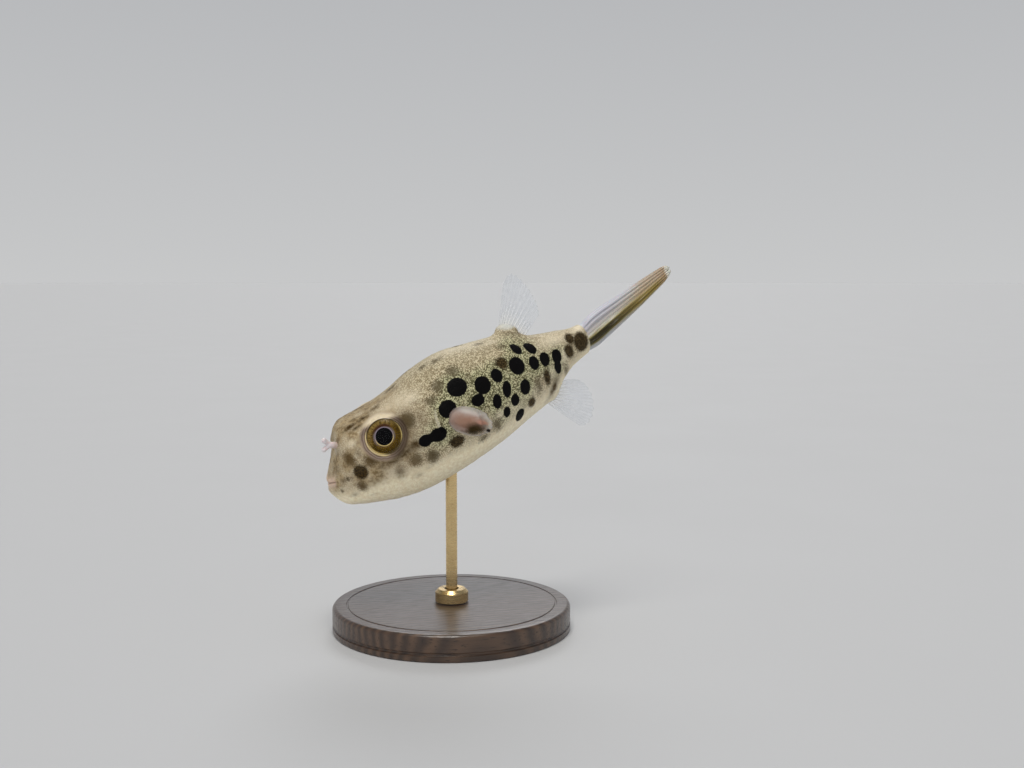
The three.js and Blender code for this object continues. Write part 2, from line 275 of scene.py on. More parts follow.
def hand_over(piece, finish, slot, *nodes):
    """Gives a piece its finish, and hides the model's parts that it stands for."""
    piece.data.polygons.foreach_set("use_smooth", [True] * len(piece.data.polygons))
    piece.data.materials.append(finish)
    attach(piece, "root")
    if nodes:
        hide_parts(*nodes)


# ======== finishes ========
class Value:
    """What a node of a finish gives. Each sum on it adds a node that works out the sum."""

    def __init__(self, finish, socket):
        self.finish = finish
        self.socket = socket

    def __add__(self, other):
        return self.finish.sum("ADD", self, other)

    def __sub__(self, other):
        return self.finish.sum("SUBTRACT", self, other)

    def __mul__(self, other):
        return self.finish.sum("MULTIPLY", self, other)

    def __truediv__(self, other):
        return self.finish.sum("DIVIDE", self, other)

    def band(self, low, high, first=0.0, second=1.0):
        """Goes smoothly from first to second as the value goes from low to high."""
        given = [self, low, high, first, second]
        return self.finish.node("MapRange", given, interpolation_type="SMOOTHSTEP")


class Finish:
    """A node material as it is put together."""

    def __init__(self, name, **constants):
        self.material = bpy.data.materials.new(name)
        self.material.use_nodes = True
        self.tree = self.material.node_tree
        self.shader = self.tree.nodes["Principled BSDF"]
        for socket, value in constants.items():
            self.shader.inputs[socket.replace("_", " ")].default_value = value

    def node(self, kind, given=(), output=0, **settings):
        """Adds a node, feeds what is given to its inputs in order or by name, and returns an output."""
        node = self.tree.nodes.new("ShaderNode" + kind)
        for name, value in settings.items():
            setattr(node, name, value)
        inputs = given if isinstance(given, dict) else dict(enumerate(given))
        for socket, value in inputs.items():
            self.feed(node.inputs[socket], value)
        return Value(self, node.outputs[output])

    def feed(self, socket, given):
        if isinstance(given, Value):
            self.tree.links.new(given.socket, socket)
        elif socket.type == "RGBA":
            socket.default_value = (*given, 1)
        else:
            socket.default_value = given

    def done(self, colour, **values):
        """Feeds the shader its colour and the other values given, and returns the material."""
        for socket, given in {"Base Color": colour, **values}.items():
            self.feed(self.shader.inputs[socket], given)
        return self.material

    def place(self, stretch=(1, 1, 1), turn=(0, 0, 0)):
        """Object coordinates in millimetres, stretched and turned."""
        where = self.node("TexCoord", output="Object")
        scale = [s / MM for s in stretch]
        return self.node("Mapping", {"Vector": where, "Scale": scale, "Rotation": turn})

    def kept(self, name):
        """The three values stored on the piece under a name."""
        stored = self.node("Attribute", output="Color", attribute_name=name)
        first = self.node("SeparateColor", [stored])
        return [Value(self, output) for output in first.socket.node.outputs]

    def sum(self, operation, a, b=0.0, clamp=False):
        return self.node("Math", [a, b], operation=operation, use_clamp=clamp)

    def vector(self, operation, *given, output=0):
        return self.node("VectorMath", given, output, operation=operation)

    def mix(self, factor, below, above):
        return self.node("Mix", {0: factor, 6: below, 7: above}, 2, data_type="RGBA")

    def coats(self, colour, *coats):
        """Lays coats over a colour, each a strength and a colour of its own."""
        for strength, coat in coats:
            colour = self.mix(strength, colour, coat)
        return colour

    def clouds(self, where, scale, detail=2.0, rough=0.5, output=0):
        given = {"Vector": where, "Scale": scale, "Detail": detail, "Roughness": rough}
        return self.node("TexNoise", given, output)

    def cells(self, where, scale):
        return self.node("TexVoronoi", {"Vector": where, "Scale": scale})

    def ramp(self, factor, *stops):
        """A colour from stops of a place and the colour there."""
        made = self.node("ValToRGB", [factor])
        elements = made.socket.node.color_ramp.elements
        for k, (place, colour) in enumerate(stops):
            element = elements[k] if k < 2 else elements.new(place)
            element.position = place
            element.color = (*colour, 1)
        return made

    def relief(self, height, depth, below=None):
        """Bumps of a depth in millimetres, over those given as below."""
        given = {"Distance": depth * MM, "Height": height}
        if below:
            given["Normal"] = below
        return self.node("Bump", given)


# ======== markings ========
# x behind the snout, height, radius along the body, radius round it, lean of its top towards the head in
# degrees. They are the left side's; the right side's are like them, a little moved.
BLACK = [
    (28.3, 6.8, 1.95, 1.8, 0), (32.9, 5.15, 1.6, 1.75, 0), (36.2, 5.5, 1.15, 1.35, 5),
    (40.8, 5.2, 1.7, 1.75, 0), (42.3, 7.6, 1.05, 1.4, 24), (45.1, 6.4, 1.1, 1.45, 26),
    (44.4, 3.9, 1.2, 1.35, -8), (46.9, 3.35, 1.2, 1.4, -8), (49.65, 2.45, 1.2, 1.45, -8),
    (49.1, 0.6, 0.9, 1.5, -12), (37.0, 2.4, 0.95, 1.6, -18), (40.7, 0.9, 1.2, 1.5, -18),
    (37.8, -0.3, 0.95, 1.2, -18), (34.3, 1.2, 0.95, 1.4, -15), (30.9, 3.1, 1.3, 1.15, 0),
    (35.4, -1.6, 0.78, 1.05, -20), (37.8, -3.7, 1.0, 1.35, -40), (25.0, 4.2, 1.75, 1.65, 10),
    (19.0, 0.3, 1.3, 1.15, 0), (21.6, 0.4, 1.7, 1.35, 0), (20.2, 0.35, 1.2, 0.85, 0),
]
BROWN = [
    (24.4, -2.4, 1.45, 1.1, 0), (56.0, 2.3, 1.7, 1.9, 0), (52.7, 2.0, 1.05, 1.4, 0),
    (53.9, 4.0, 1.0, 1.1, 0), (38.2, 6.9, 1.1, 1.25, 20), (46.0, 0.1, 0.85, 1.5, -10),
    (6.1, -0.8, 1.3, 1.4, 0), (41.0, -2.6, 0.9, 0.95, 0),
    (1.9, -3.7, 0.2, 0.22, 0), (3.6, -1.6, 0.24, 0.24, 0),
]
SOFT = [
    (32.9, -3.1, 0.9, 1.2, -15), (43.6, -0.2, 0.85, 1.8, -10), (25.2, 8.2, 1.4, 1.3, 0),
    (28.9, 9.4, 1.3, 1.2, 0), (23.0, 6.4, 1.1, 1.0, 0), (19.2, -3.1, 1.25, 1.35, 0),
    (16.1, -2.4, 1.25, 1.3, 0), (5.2, 2.0, 1.0, 1.4, 0), (5.4, -3.6, 0.9, 1.0, 0),
    (8.6, 0.8, 1.3, 1.1, 0), (17.4, 4.8, 1.5, 1.5, 0), (40.0, 9.1, 0.9, 0.7, 0),
    (30.6, 7.5, 0.6, 0.5, 0), (50.8, -1.2, 0.6, 1.3, -15), (29.4, -4.2, 0.9, 0.7, 0),
]
# dusky patches: x behind the snout, height, reach along and round the body, lean, strength
DUSKY = [
    (17.2, 4.9, 1.8, 1.8, 0, 1.2), (16.9, 2.9, 1.2, 1.4, 0, 0.6), (14.6, -0.3, 1.6, 0.9, 0, 0.85),
    (17.0, 0.3, 1.8, 1.0, 0, 1.15), (19.5, 4.6, 2.0, 1.6, 0, 0.45), (21.0, 6.9, 2.2, 0.5, -30, 0.35),
    (8.6, 0.7, 1.3, 1.0, 0, 0.65), (7.1, 2.8, 0.7, 1.1, 0, 0.5), (5.2, 2.0, 0.9, 1.2, 0, 0.7),
    (2.6, 0.2, 0.9, 1.1, 0, 0.6), (2.9, -1.6, 0.8, 0.5, 0, 0.65), (4.3, -1.5, 0.5, 0.4, 0, 0.5),
    (10.4, -1.1, 1.2, 0.9, 0, 0.5), (7.6, -3.5, 0.8, 0.7, 0, 0.35), (9.0, -2.6, 0.8, 1.2, 0, 0.25),
    (5.4, -3.6, 0.85, 0.95, 0, 0.75), (19.3, -3.0, 0.9, 1.0, 0, 0.95), (46.8, -2.8, 0.95, 2.3, -50, 1.1),
    (12.6, -3.5, 0.95, 1.3, 0, 0.75), (15.5, -5.7, 1.1, 0.6, 0, 0.4), (18.0, -5.0, 0.8, 0.3, 0, 0.25),
    (3.7, -5.0, 0.85, 0.45, 0, 0.6), (6.7, -6.1, 0.9, 0.3, 0, 0.25), (4.7, 5.0, 0.5, 0.9, 0, 0.5),
    # the last two on the next line are painted shade under the overhanging top of the dorsal fin's fleshy
    # root
    (12.4, -0.9, 1.6, 0.6, 0, 0.8), (42.6, 10.2, 0.9, 0.35, -20, 0.5), (44.6, 9.2, 0.9, 0.5, -20, 0.6),
]
# wrinkles of the forehead: x, distance from the middle of the back, reach along and across, lean, strength
FOREHEAD = [
    (7.8, -3.8, 1.5, 0.62, 10, 1.25), (8.7, -4.9, 1.0, 0.40, 10, 1.1), (10.7, -3.5, 1.4, 0.55, 14, 1.2),
    (9.6, -2.3, 1.5, 0.4, 8, 0.55), (6.3, -2.4, 0.9, 0.6, 0, 0.4), (12.9, -2.3, 1.4, 0.5, 0, 0.4),
    (15.2, -1.4, 1.5, 0.6, 0, 0.35), (12.2, -0.3, 1.6, 0.7, 0, 0.35), (18.2, -0.9, 1.3, 0.5, 0, 0.55),
]
# the pale ridge of the back, in the same terms
RIDGE = [(33, 0, 8.5, 3.2, 0, 0.6)]
# pale patches, like the dusky ones
PALE = [
    (42.8, -4.0, 1.8, 1.2, 0, 0.5), (33.9, -1.4, 1.1, 0.9, 0, 0.75), (19.6, 7.9, 2.2, 1.3, 0, 0.62),
    (38.6, 10.1, 1.8, 0.6, 0, 0.6), (50.4, 0.2, 0.8, 0.8, 0, 0.6), (15.4, 7.6, 2.2, 1.0, 0, 0.5),
    (18.0, 8.1, 2.6, 1.5, 0, 0.5), (21.0, 8.6, 1.6, 0.9, 0, 0.3), (6.6, 4.5, 1.2, 0.8, 0, 0.7),
    (8.6, 4.4, 0.8, 1.4, 0, 0.3), (11.0, -3.4, 1.3, 1.7, 0, 0.65), (14.3, -4.4, 1.2, 1.2, 0, 0.4),
    (7.2, -2.2, 0.6, 1.0, 0, 0.3), (50.5, 5.4, 3.6, 1.3, 0, 0.7), (56.8, 4.8, 1.7, 0.9, 0, 1.2),
    (3.2, -2.9, 1.1, 0.5, 0, 0.3), (29.5, -2.4, 4.4, 1.5, 0, 0.6), (36.8, -2.0, 3.6, 1.7, 0, 0.55),
    (42.8, -1.4, 2.6, 1.7, 0, 0.5), (47.6, -0.2, 1.6, 1.6, 0, 0.5), (51.4, 1.6, 2.0, 1.6, 0, 0.7),
    (38.0, -3.6, 3.0, 0.9, 0, 0.5),
]
# x behind the snout, height of the cream belly's edge there
BELLY_LINE = [
    (0, -4.4), (4, -4.2), (10, -4.2), (18, -4.5), (30, -4.3), (40, -3.3), (47, -2.3), (52, -0.6), (58, 0.6),
]
# x behind the snout, distance from the middle of the back (left negative), radii, lean
BACK = [
    (27.4, -2.2, 1.2, 0.8, 0), (24.8, -1.4, 1.0, 0.7, 0), (17.9, 0.9, 1.2, 0.7, 0),
    (33.0, 1.8, 1.0, 0.8, 0), (22.0, 3.2, 1.1, 0.9, 0), (29.5, 3.6, 1.3, 1.0, 0),
    (36.5, -1.3, 0.8, 0.6, 0), (13.6, -2.4, 0.7, 0.6, 0),
]


def skin_place(x, at, top):
    """A point of the skin on the left side at a height, or on top at a distance from the middle of the
    back, with the directions back and round there, and the outward one."""
    low, high = (0.0, math.pi) if top else (math.pi / 2, math.pi * 1.5)
    for _ in range(30):
        middle = (low + high) / 2
        here = body_skin(x, middle)
        short = here[1] - sweep(x) > at if top else here[2] > at
        low, high = (middle, high) if short else (low, middle)
    step = 0.02
    back = body_skin(x + step, middle) - body_skin(x - step, middle)
    round_ = body_skin(x, middle - step) - body_skin(x, middle + step)
    out = np.cross(back, round_)
    back, out = back / np.linalg.norm(back), out / np.linalg.norm(out)
    return here, back, np.cross(out, back), out


def spot_depths(points, spots, mirror, jitter, top=False, soft=False):
    """How far inside the nearest spot each point lies, in millimetres, negative outside; or for soft
    patches their strength there. Spots of the top lie at a distance from the middle of the back."""
    x, y, z = points.T
    seen = np.stack([x, 2 * sweep(x) - y, z], -1) if mirror else points
    outside, near_side = -9.0, 3  # a spot doesn't show through on the other side
    deepest = np.full(len(points), 0.0 if soft else outside)
    for x, height, along, around, lean, *strength in spots:
        if mirror:
            x += jitter.uniform(-0.9, 0.9)
            height += jitter.uniform(-0.6, 0.6)
            along *= jitter.uniform(0.85, 1.15)
            around *= jitter.uniform(0.85, 1.15)
        centre, back, round_, out = skin_place(x, height, top)
        offset = seen - centre
        near = np.abs(offset @ out) < near_side
        u, w = offset @ back, offset @ round_
        c, s = math.cos(math.radians(lean)), math.sin(math.radians(lean))
        far = np.hypot((u * c + w * s) / along, (w * c - u * s) / around)
        depth = strength[0] * mound(far, 1) if soft else (1 - far) * min(along, around)
        deepest = np.where(near, np.maximum(deepest, depth), deepest)
    return deepest


# ======== the skin ========
def skin_grid(turn, polar):
    """Where each point of the unit ball goes: x behind the snout, and the angle round the section. The
    rings stand closest on the head, and the lines along the body closest at the height of the eyes."""
    along = 1 - polar
    snout, head, tail = 0.13, 0.52, 0.97  # shares of the rings up to there
    head_end = 18.0
    x = np.interp(along, [snout, head, tail], [SNOUT_ROUND, head_end, STUB_X])
    x = np.where(along < snout, SNOUT_ROUND * (1 - np.cos(along / snout * math.pi / 2)), x)
    end = np.clip((along - tail) / (1 - tail), 0, 1)
    x = np.where(along > tail, STUB_X + STUB_ROUND * np.sin(end * math.pi / 2), x)
    eye_angle = math.radians(25)
    steps = np.linspace(0, 2 * math.pi, 721)
    crowding = 1 + 0.9 * (mound(steps - eye_angle, 0.5) + mound(steps - math.pi + eye_angle, 0.5))
    reached = np.concatenate([[0], np.cumsum((crowding[1:] + crowding[:-1]) / 2)])
    angle = np.interp(np.mod(turn, 2 * math.pi), reached / reached[-1] * 2 * math.pi, steps)
    return x, angle


def mouth_line(points):
    """Height above the closed mouth, and how strongly it shows there."""
    x, y, z = points.T
    height = z - (MOUTH_HEIGHT - 0.25 * mound(y, 1.4) + 0.05 * np.abs(y))
    return height, smooth((MOUTH_HALF_WIDTH - np.abs(y)) / 0.9) * smooth((3.4 - x) / 1.0)


def gill_line(points):
    """Distance behind the gill slit, and how strongly it shows there."""
    up = points[:, 2] - GILL_HEIGHT
    slit = GILL_X - 0.7 * (1 - (up / 3.4) ** 2)
    return points[:, 0] - slit, smooth(1.6 - np.abs(up) / 2.3)


def nostril_distance(points):
    """How far each point lies from the nearer nostril."""
    x, y, z = points.T
    return np.linalg.norm(np.stack([x, np.abs(y), z], -1) - NOSTRIL, axis=-1)


def skin_relief(points):
    """How far the skin stands out from the bare body, in millimetres."""
    x, y, z = points.T
    off_middle = np.abs(y - sweep(x))
    height, mouth = mouth_line(points)
    creases = 1 + 0.2 * np.cos(2 * math.pi * y / 0.42)
    rise = mouth * (
        0.15 * mound(height - 0.42, 0.34) * creases
        + 0.17 * mound(height + 0.48, 0.38) * creases
        - 0.34 * mound(height, 0.12)
        - 0.12 * mound(x, 1.2)
        - 0.05 * mound(height + 1.2, 0.3)
        - 0.42 * mound(height + 0.5, 0.7)
    )
    # a low boss under each tentacle
    rise += 0.35 * mound(nostril_distance(points), 0.95)
    behind, gill = gill_line(points)
    rise += gill * (0.3 * mound(behind + 0.75, 0.55) - 0.5 * mound(behind, 0.3))
    # pleats on the fleshy roots of the dorsal and anal fins
    pad = smooth((x - 40.5) / 0.8) * smooth((45.9 - x) / 0.8) * smooth((z - 8.8) / 1.3)
    rise += pad * (0.30 + 0.40 * smooth((x - 42.5) / 2.5))
    dorsal = mound(x - 43.3, 2.4) * smooth((z - 9.3) / 1.2)
    anal = mound(x - 47.4, 2.0) * smooth((-4.9 - z) / 1.0)
    rise += dorsal * (0.16 * ripple(x / 0.56) - 0.06) + anal * 0.14 * ripple(x / 0.5)
    # faint folds low on the peduncle, and pleats of the belly
    rise += 0.07 * mound(x - 46, 4) * mound(z + 2.5, 3) * np.cos(2 * math.pi * (x + 0.5 * z) / 1.9)
    belly = smooth((-6 - z) / 2) * smooth((x - 6) / 4) * mound(x - 22, 17)
    rise -= 0.05 * belly * ripple((off_middle + 0.15 * np.sin(x * 0.9)) / 1.15)
    # forehead wrinkles
    for start, depth in ((6.6, 0.10), (7.7, 0.12), (8.8, 0.10)):
        line = x - start - 0.72 * (z - 5.6)
        rise -= depth * mound(line, 0.22) * mound(z - 6.3, 1.3) * mound(off_middle - 4.6, 1.9)
    lumps = [0.045 * noise.noise(Vector(p) * 1.1) + 0.022 * noise.noise(Vector(p) * 2.9) for p in points]
    return rise + np.array(lumps)


def set_eye_ring(points, side):
    """Levels the skin round an eye into a ring, with lid, grooves and brow, and sinks it behind the eye.
    Returns the points, their distance from the eye's axis, and how far they lie ahead of and above it."""
    centre, out, fore, up = eye_axes(side)
    offset = points - centre
    height = offset @ out
    ahead, above = offset @ fore, offset @ up
    radius = np.hypot(ahead, above)
    mine = (points[:, 1] * side > 0) & (height > -3.5) & (radius < 8)
    topness = above / np.maximum(radius, 1e-6)
    rim = RIM_RADIUS - 0.14 * smooth((topness - 0.2) / 0.8)  # the brow hangs a little over the iris
    # rings of the mesh are drawn to the rim, so that it is round
    pull = 0.4
    gap = (radius - rim) / pull
    drawn = np.where(np.abs(gap) < 1, rim + pull * gap * np.abs(gap) ** 0.7, radius)
    spread = np.minimum(1, 4.2 / np.maximum(radius, 1e-6))
    plane = rim_level(ahead * spread, above * spread)
    brow = mound(radius - 3.95, 0.3) * smooth((topness - 0.05) / 0.5)
    turn = np.arctan2(ahead, above)
    wander = 0.07 * np.sin(5.5 * turn) + 0.05 * np.sin(9.0 * turn + 1) + 0.04 * np.sin(2 * turn + 2)
    rr = radius - (rim - RIM_RADIUS) + wander * smooth((radius - 3.5) / 0.5)
    strong = 0.55 + 0.45 * np.sin(3 * turn + 0.6) ** 2
    ring = (
        0.15 * mound(rr - 3.46, 0.13)
        - 0.10 * mound(rr - 3.68, 0.08) * strong
        + 0.05 * mound(rr - 3.84, 0.1)
        - 0.11 * mound(rr - 4.04, 0.1) * strong
        + 0.05 * mound(rr - 4.25, 0.15)
        + 0.08 * brow
    )
    outer = 5.4 - 1.35 * smooth((topness - 0.1) / 0.7)
    share = smooth((outer - radius) / (1.3 - 0.6 * smooth(topness)))
    level = height * (1 - share) + share * plane + ring * smooth((5.2 - radius) / 0.7)
    sunk = plane + 0.12 - 2.4 * smooth((rim - radius) / 0.4)
    level = np.where(radius < rim, sunk, level)
    scale = (drawn / np.maximum(radius, 1e-6))[:, None]
    moved = centre + (np.outer(ahead, fore) + np.outer(above, up)) * scale + np.outer(level, out)
    points = np.where(mine[:, None], moved, points)
    return points, np.where(mine, drawn - rim + RIM_RADIUS, FAR), np.where(mine, [ahead, above], 0.0)


def keep_markings(mesh, bare):
    """Stores how deep each point lies in the black, brown and grey spots, then its dusky and pale shades
    and the gill slit, with painted shade under the dorsal fin's root among the dusky ones and a painted
    shadow in the gill slit."""
    jitter = random.Random(55)
    on_left = bare[:, 1] < sweep(bare[:, 0])

    def both_sides(spots, **kinds):
        left, right = (spot_depths(bare, spots, mirror, jitter, **kinds) for mirror in (False, True))
        return np.where(on_left, left, right)

    def on_back(spots, **kinds):
        return spot_depths(bare, spots, False, jitter, top=True, **kinds)

    black, brown = both_sides(BLACK), both_sides(BROWN)
    keep(mesh, "marks", black, brown, np.maximum(both_sides(SOFT), on_back(BACK)))
    dusky = np.maximum(both_sides(DUSKY, soft=True), both_sides(FOREHEAD, top=True, soft=True))
    pale = np.maximum(both_sides(PALE, soft=True), on_back(RIDGE, soft=True))
    behind, gill = gill_line(bare)
    keep(mesh, "shade", dusky, pale, gill * (mound(behind + 0.28, 0.26) - mound(behind - 0.1, 0.18)))


def keep_zones(mesh, bare):
    """Stores the belly, the face and how grainy the skin is, then the lips, the slit between them, which
    carries painted shade in its crease, and the fleshy roots of the fins."""
    x, _, z = bare.T
    belly = smooth((np.interp(x, *zip(*BELLY_LINE)) - z) / 3.2 + 0.5)
    smooth_back = smooth((x - 43) / 5) * smooth((z - 3) / 2)
    grain = smooth((x - 15) / 9) * (1 - 0.75 * belly) * (1 - 0.6 * smooth_back)
    keep(mesh, "zones", belly, smooth((21 - x) / 8), grain)
    height, mouth = mouth_line(bare)
    dorsal_edge = 11.2 - 0.36 * (x - 41.7)
    anal_edge = -6.6 + 0.45 * (x - 45.6)
    roots = mound(x - 43.2, 2.4) * smooth((z - dorsal_edge) / 0.5 + 0.7)
    roots += mound(x - 47.4, 2.2) * smooth((anal_edge - z) / 0.7 + 0.6)
    roots += 0.25 * mound(nostril_distance(bare), 1.1)
    keep(mesh, "flesh", mouth * mound(height, 0.95), mouth * mound(height, 0.15), roots)


def build_skin():
    skin, _, turn, polar = unit_ball("skin", SKIN_AROUND, SKIN_RINGS, unwrapped=True)
    mesh = skin.data
    bare = body_skin(*skin_grid(turn, polar))
    move_points(mesh, bare)
    points = bare + read_points(mesh, "normal") * skin_relief(bare)[:, None]
    eye_radius = np.full(len(points), FAR)
    beside_eye = np.zeros((2, len(points)))
    for side in (-1, 1):
        points, radius, beside = set_eye_ring(points, side)
        eye_radius = np.minimum(eye_radius, radius)
        beside_eye += beside
    move_points(mesh, on_stand(points))
    keep_markings(mesh, bare)
    keep_zones(mesh, bare)
    keep(mesh, "eyes", eye_radius, *beside_eye)
    hand_over(skin, skin_finish(), "skin", "head", "trunk", "tail")


def skin_finish():
    finish = Finish(
        "spotted skin", Specular_IOR_Level=0.08,
        Subsurface_Weight=0.10, Subsurface_Radius=(1.0, 0.7, 0.45), Subsurface_Scale=0.0003,
    )
    where = finish.place()
    black, brown, soft = finish.kept("marks")
    belly, face, grainy = finish.kept("zones")
    lips, slit, roots = finish.kept("flesh")
    eye, ahead, above = finish.kept("eyes")
    shade, pale, gill = finish.kept("shade")
    swirl = finish.clouds(where, 2.2, output="Color")
    grains = finish.cells(finish.vector("MULTIPLY_ADD", swirl, (0.35, 0.35, 0.35), where), 3.9)
    fine = finish.clouds(where, 4.2, rough=0.6)
    coarse = finish.clouds(where, 1.6)
    patches = finish.clouds(where, 0.33)
    uneven = (coarse - 0.5) * 0.7
    grain = (grains + uneven).band(0.30, 0.62, 1.0, 0.0)

    back = finish.mix(grain, (0.25, 0.20, 0.115), (0.60, 0.525, 0.36))
    flank = finish.mix(grain, (0.115, 0.107, 0.054), (0.56, 0.54, 0.33))
    plain = finish.mix(grain, (0.41, 0.335, 0.225), (0.60, 0.52, 0.37))
    dusky = finish.mix(coarse.band(0.36, 0.62), (0.19, 0.126, 0.054), (0.40, 0.31, 0.178))
    cream = finish.mix(coarse.band(0.3, 0.7), (0.84, 0.73, 0.51), (0.95, 0.87, 0.65))
    # on plain skin: gold and olive grains, the dusky face, pale patches, the cream belly, the gill slit's
    # painted shadow and its pale edge, and dusky patches, two of them painted shade under the dorsal fin's
    # root
    skin = finish.coats(
        plain,
        (grainy, finish.mix(black.band(-2.6, -0.3), back, flank)),
        (face * patches.band(0.36, 0.60, 0.18, 0.90), dusky),
        (pale * fine.band(0.35, 0.65, 0.65, 1.0), (0.80, 0.71, 0.535)),
        (belly, cream),
        (gill * -0.7, (0.10, 0.075, 0.045)),
        (gill * 0.8, (0.72, 0.66, 0.50)),
        (shade * coarse.band(0.3, 0.65, 1.0, 0.75), (0.055, 0.031, 0.008)),
    )
    # soft grey spots of dark grains, brown spots with grainy edges, black ones with clean edges, then the
    # lips, painted shade along the slit between them, and the fleshy roots of the fins
    ragged = (grains - 0.4) * 0.8 + uneven
    smoky = finish.mix(face, (0.10, 0.080, 0.044), (0.088, 0.054, 0.019))
    umber = finish.mix(grain, (0.016, 0.009, 0.002), (0.050, 0.028, 0.005))
    skin = finish.coats(
        skin,
        ((soft + ragged).band(-0.55, 0.75, 0.0, 0.80), smoky),
        ((brown + ragged * 0.25).band(-0.40, 0.30, 0.0, 0.96), umber),
        ((black + ragged * 0.1).band(-0.08, 0.08), (0.0020, 0.0017, 0.0018)),
        (lips * 0.85, (0.78, 0.58, 0.46)),
        # painted shade in the crease of the closed mouth
        (slit * 0.45, (0.10, 0.05, 0.035)),
        (roots * 0.85, (0.66, 0.67, 0.64)),
    )
    # the rings of skin round the eye: lilac grey in front and dark behind, both painted lighter on their
    # folds and darker in the grooves between them as painted highlights and shade, with a cream brow over
    # them, a gold crescent inside them ahead and below, and a dark edge of painted shade where the skin meets
    # the eye
    wavy = (finish.clouds(where, 0.8) - 0.5) * 0.5
    ring_place = (eye + wavy) * 0.1
    # the stops fall on the ridges and grooves that set_eye_ring raises: painted highlights on the ridges,
    # painted shade in the grooves and in the gap at the rim
    ring = finish.ramp(
        ring_place,
        (0.330, (0.03, 0.022, 0.015)), (0.350, (0.20, 0.14, 0.095)), (0.366, (0.135, 0.095, 0.068)),
        (0.384, (0.31, 0.24, 0.20)), (0.404, (0.14, 0.098, 0.072)), (0.425, (0.29, 0.22, 0.17)),
        (0.455, (0.30, 0.23, 0.155)),
    )
    dark_ring_painted_folds = finish.ramp(
        ring_place,
        (0.330, (0.04, 0.028, 0.018)), (0.352, (0.11, 0.080, 0.058)), (0.372, (0.048, 0.031, 0.018)),
        (0.395, (0.092, 0.064, 0.044)), (0.420, (0.045, 0.028, 0.015)), (0.460, (0.080, 0.056, 0.032)),
    )
    behind = ahead * -0.93 + above * -0.38
    brow = above.band(2.3, 3.3) * eye.band(3.3, 3.45) * (eye + wavy).band(3.9, 4.8, 0.95, 0.0)
    low = (ahead * 0.89 - above * 0.46).band(1.3, 2.6, 0.0, 0.9)
    skin = finish.coats(
        skin,
        (eye.band(4.1, 4.9, 0.95, 0.0), finish.mix(behind.band(0.6, 3.2, 0.0, 0.95), ring, dark_ring_painted_folds)),
        (brow, finish.mix(coarse, (0.62, 0.51, 0.33), (0.86, 0.75, 0.56))),
        (low * eye.band(3.50, 3.62, 1.0, 0.0), (0.62, 0.50, 0.27)),
        # painted shade in the gap where the skin meets the eye
        (eye.band(3.24, 3.32, 1.0, 0.0), (0.03, 0.022, 0.012)),
    )
    return finish.done(
        skin,
        Normal=finish.relief(fine, 0.03, finish.relief(grains, 0.05)),
        Roughness=coarse.band(0.3, 0.7, 0.42, 0.58),
    )


# ======== eyes ========
def eye_shell(name, side, front, depth, rings):
    """A closed lens in the eye's socket. front gives the height of its front above the rim at a share of
    the radius from the middle to the edge, and depth that of its back below the rim."""
    piece, ball, _, polar = unit_ball(name, EYE_AROUND, rings)
    edge = 0.7  # share of the rings that are on its front
    share = np.where(polar < edge, polar / edge, (1 - polar) / (1 - edge))
    height = np.where(polar < edge, front(share), -depth(share))
    length = np.maximum(np.hypot(ball[:, 0], ball[:, 1]), 1e-9)
    flat = ball[:, :2] / length[:, None] * (share * IRIS_RADIUS)[:, None]
    centre, out, fore, up = eye_axes(side)
    ahead, above = flat[:, 0] * side, flat[:, 1]  # keeps the shell the right way out on both sides
    points = centre + np.outer(ahead, fore) + np.outer(above, up)
    points = points + np.outer(rim_level(ahead, above) + height, out)
    move_points(piece.data, on_stand(points))
    keep(piece.data, "disc", ahead, above)
    return piece


def iris_front(share):
    """Height of the iris over the rim, with the bulge of the lens in the pupil."""
    radius = share * IRIS_RADIUS
    slope = 0.24 - 0.36 * smooth((radius - 1.8) / 1.5)
    fibres = 0.02 * np.cos(radius * 9)
    edge = 0.07 * mound(radius - PUPIL_RADIUS - 0.12, 0.12)
    lens = 0.12 + 0.34 * arc(radius / (PUPIL_RADIUS + 0.03))
    return np.where(radius < PUPIL_RADIUS, lens, slope + edge + fibres)


def iris_back(share):
    return 1.7 * arc(share) + 0.12


def dome(share):
    """The bulge of the clear cornea, as a share of its height in the middle."""
    bend = 0.93
    low = arc(bend)
    return (arc(bend * share) - low) / (1 - low)


def dome_front(share):
    return 0.98 * dome(share)


def dome_back(share):
    return 0.14 - 0.94 * dome(share)


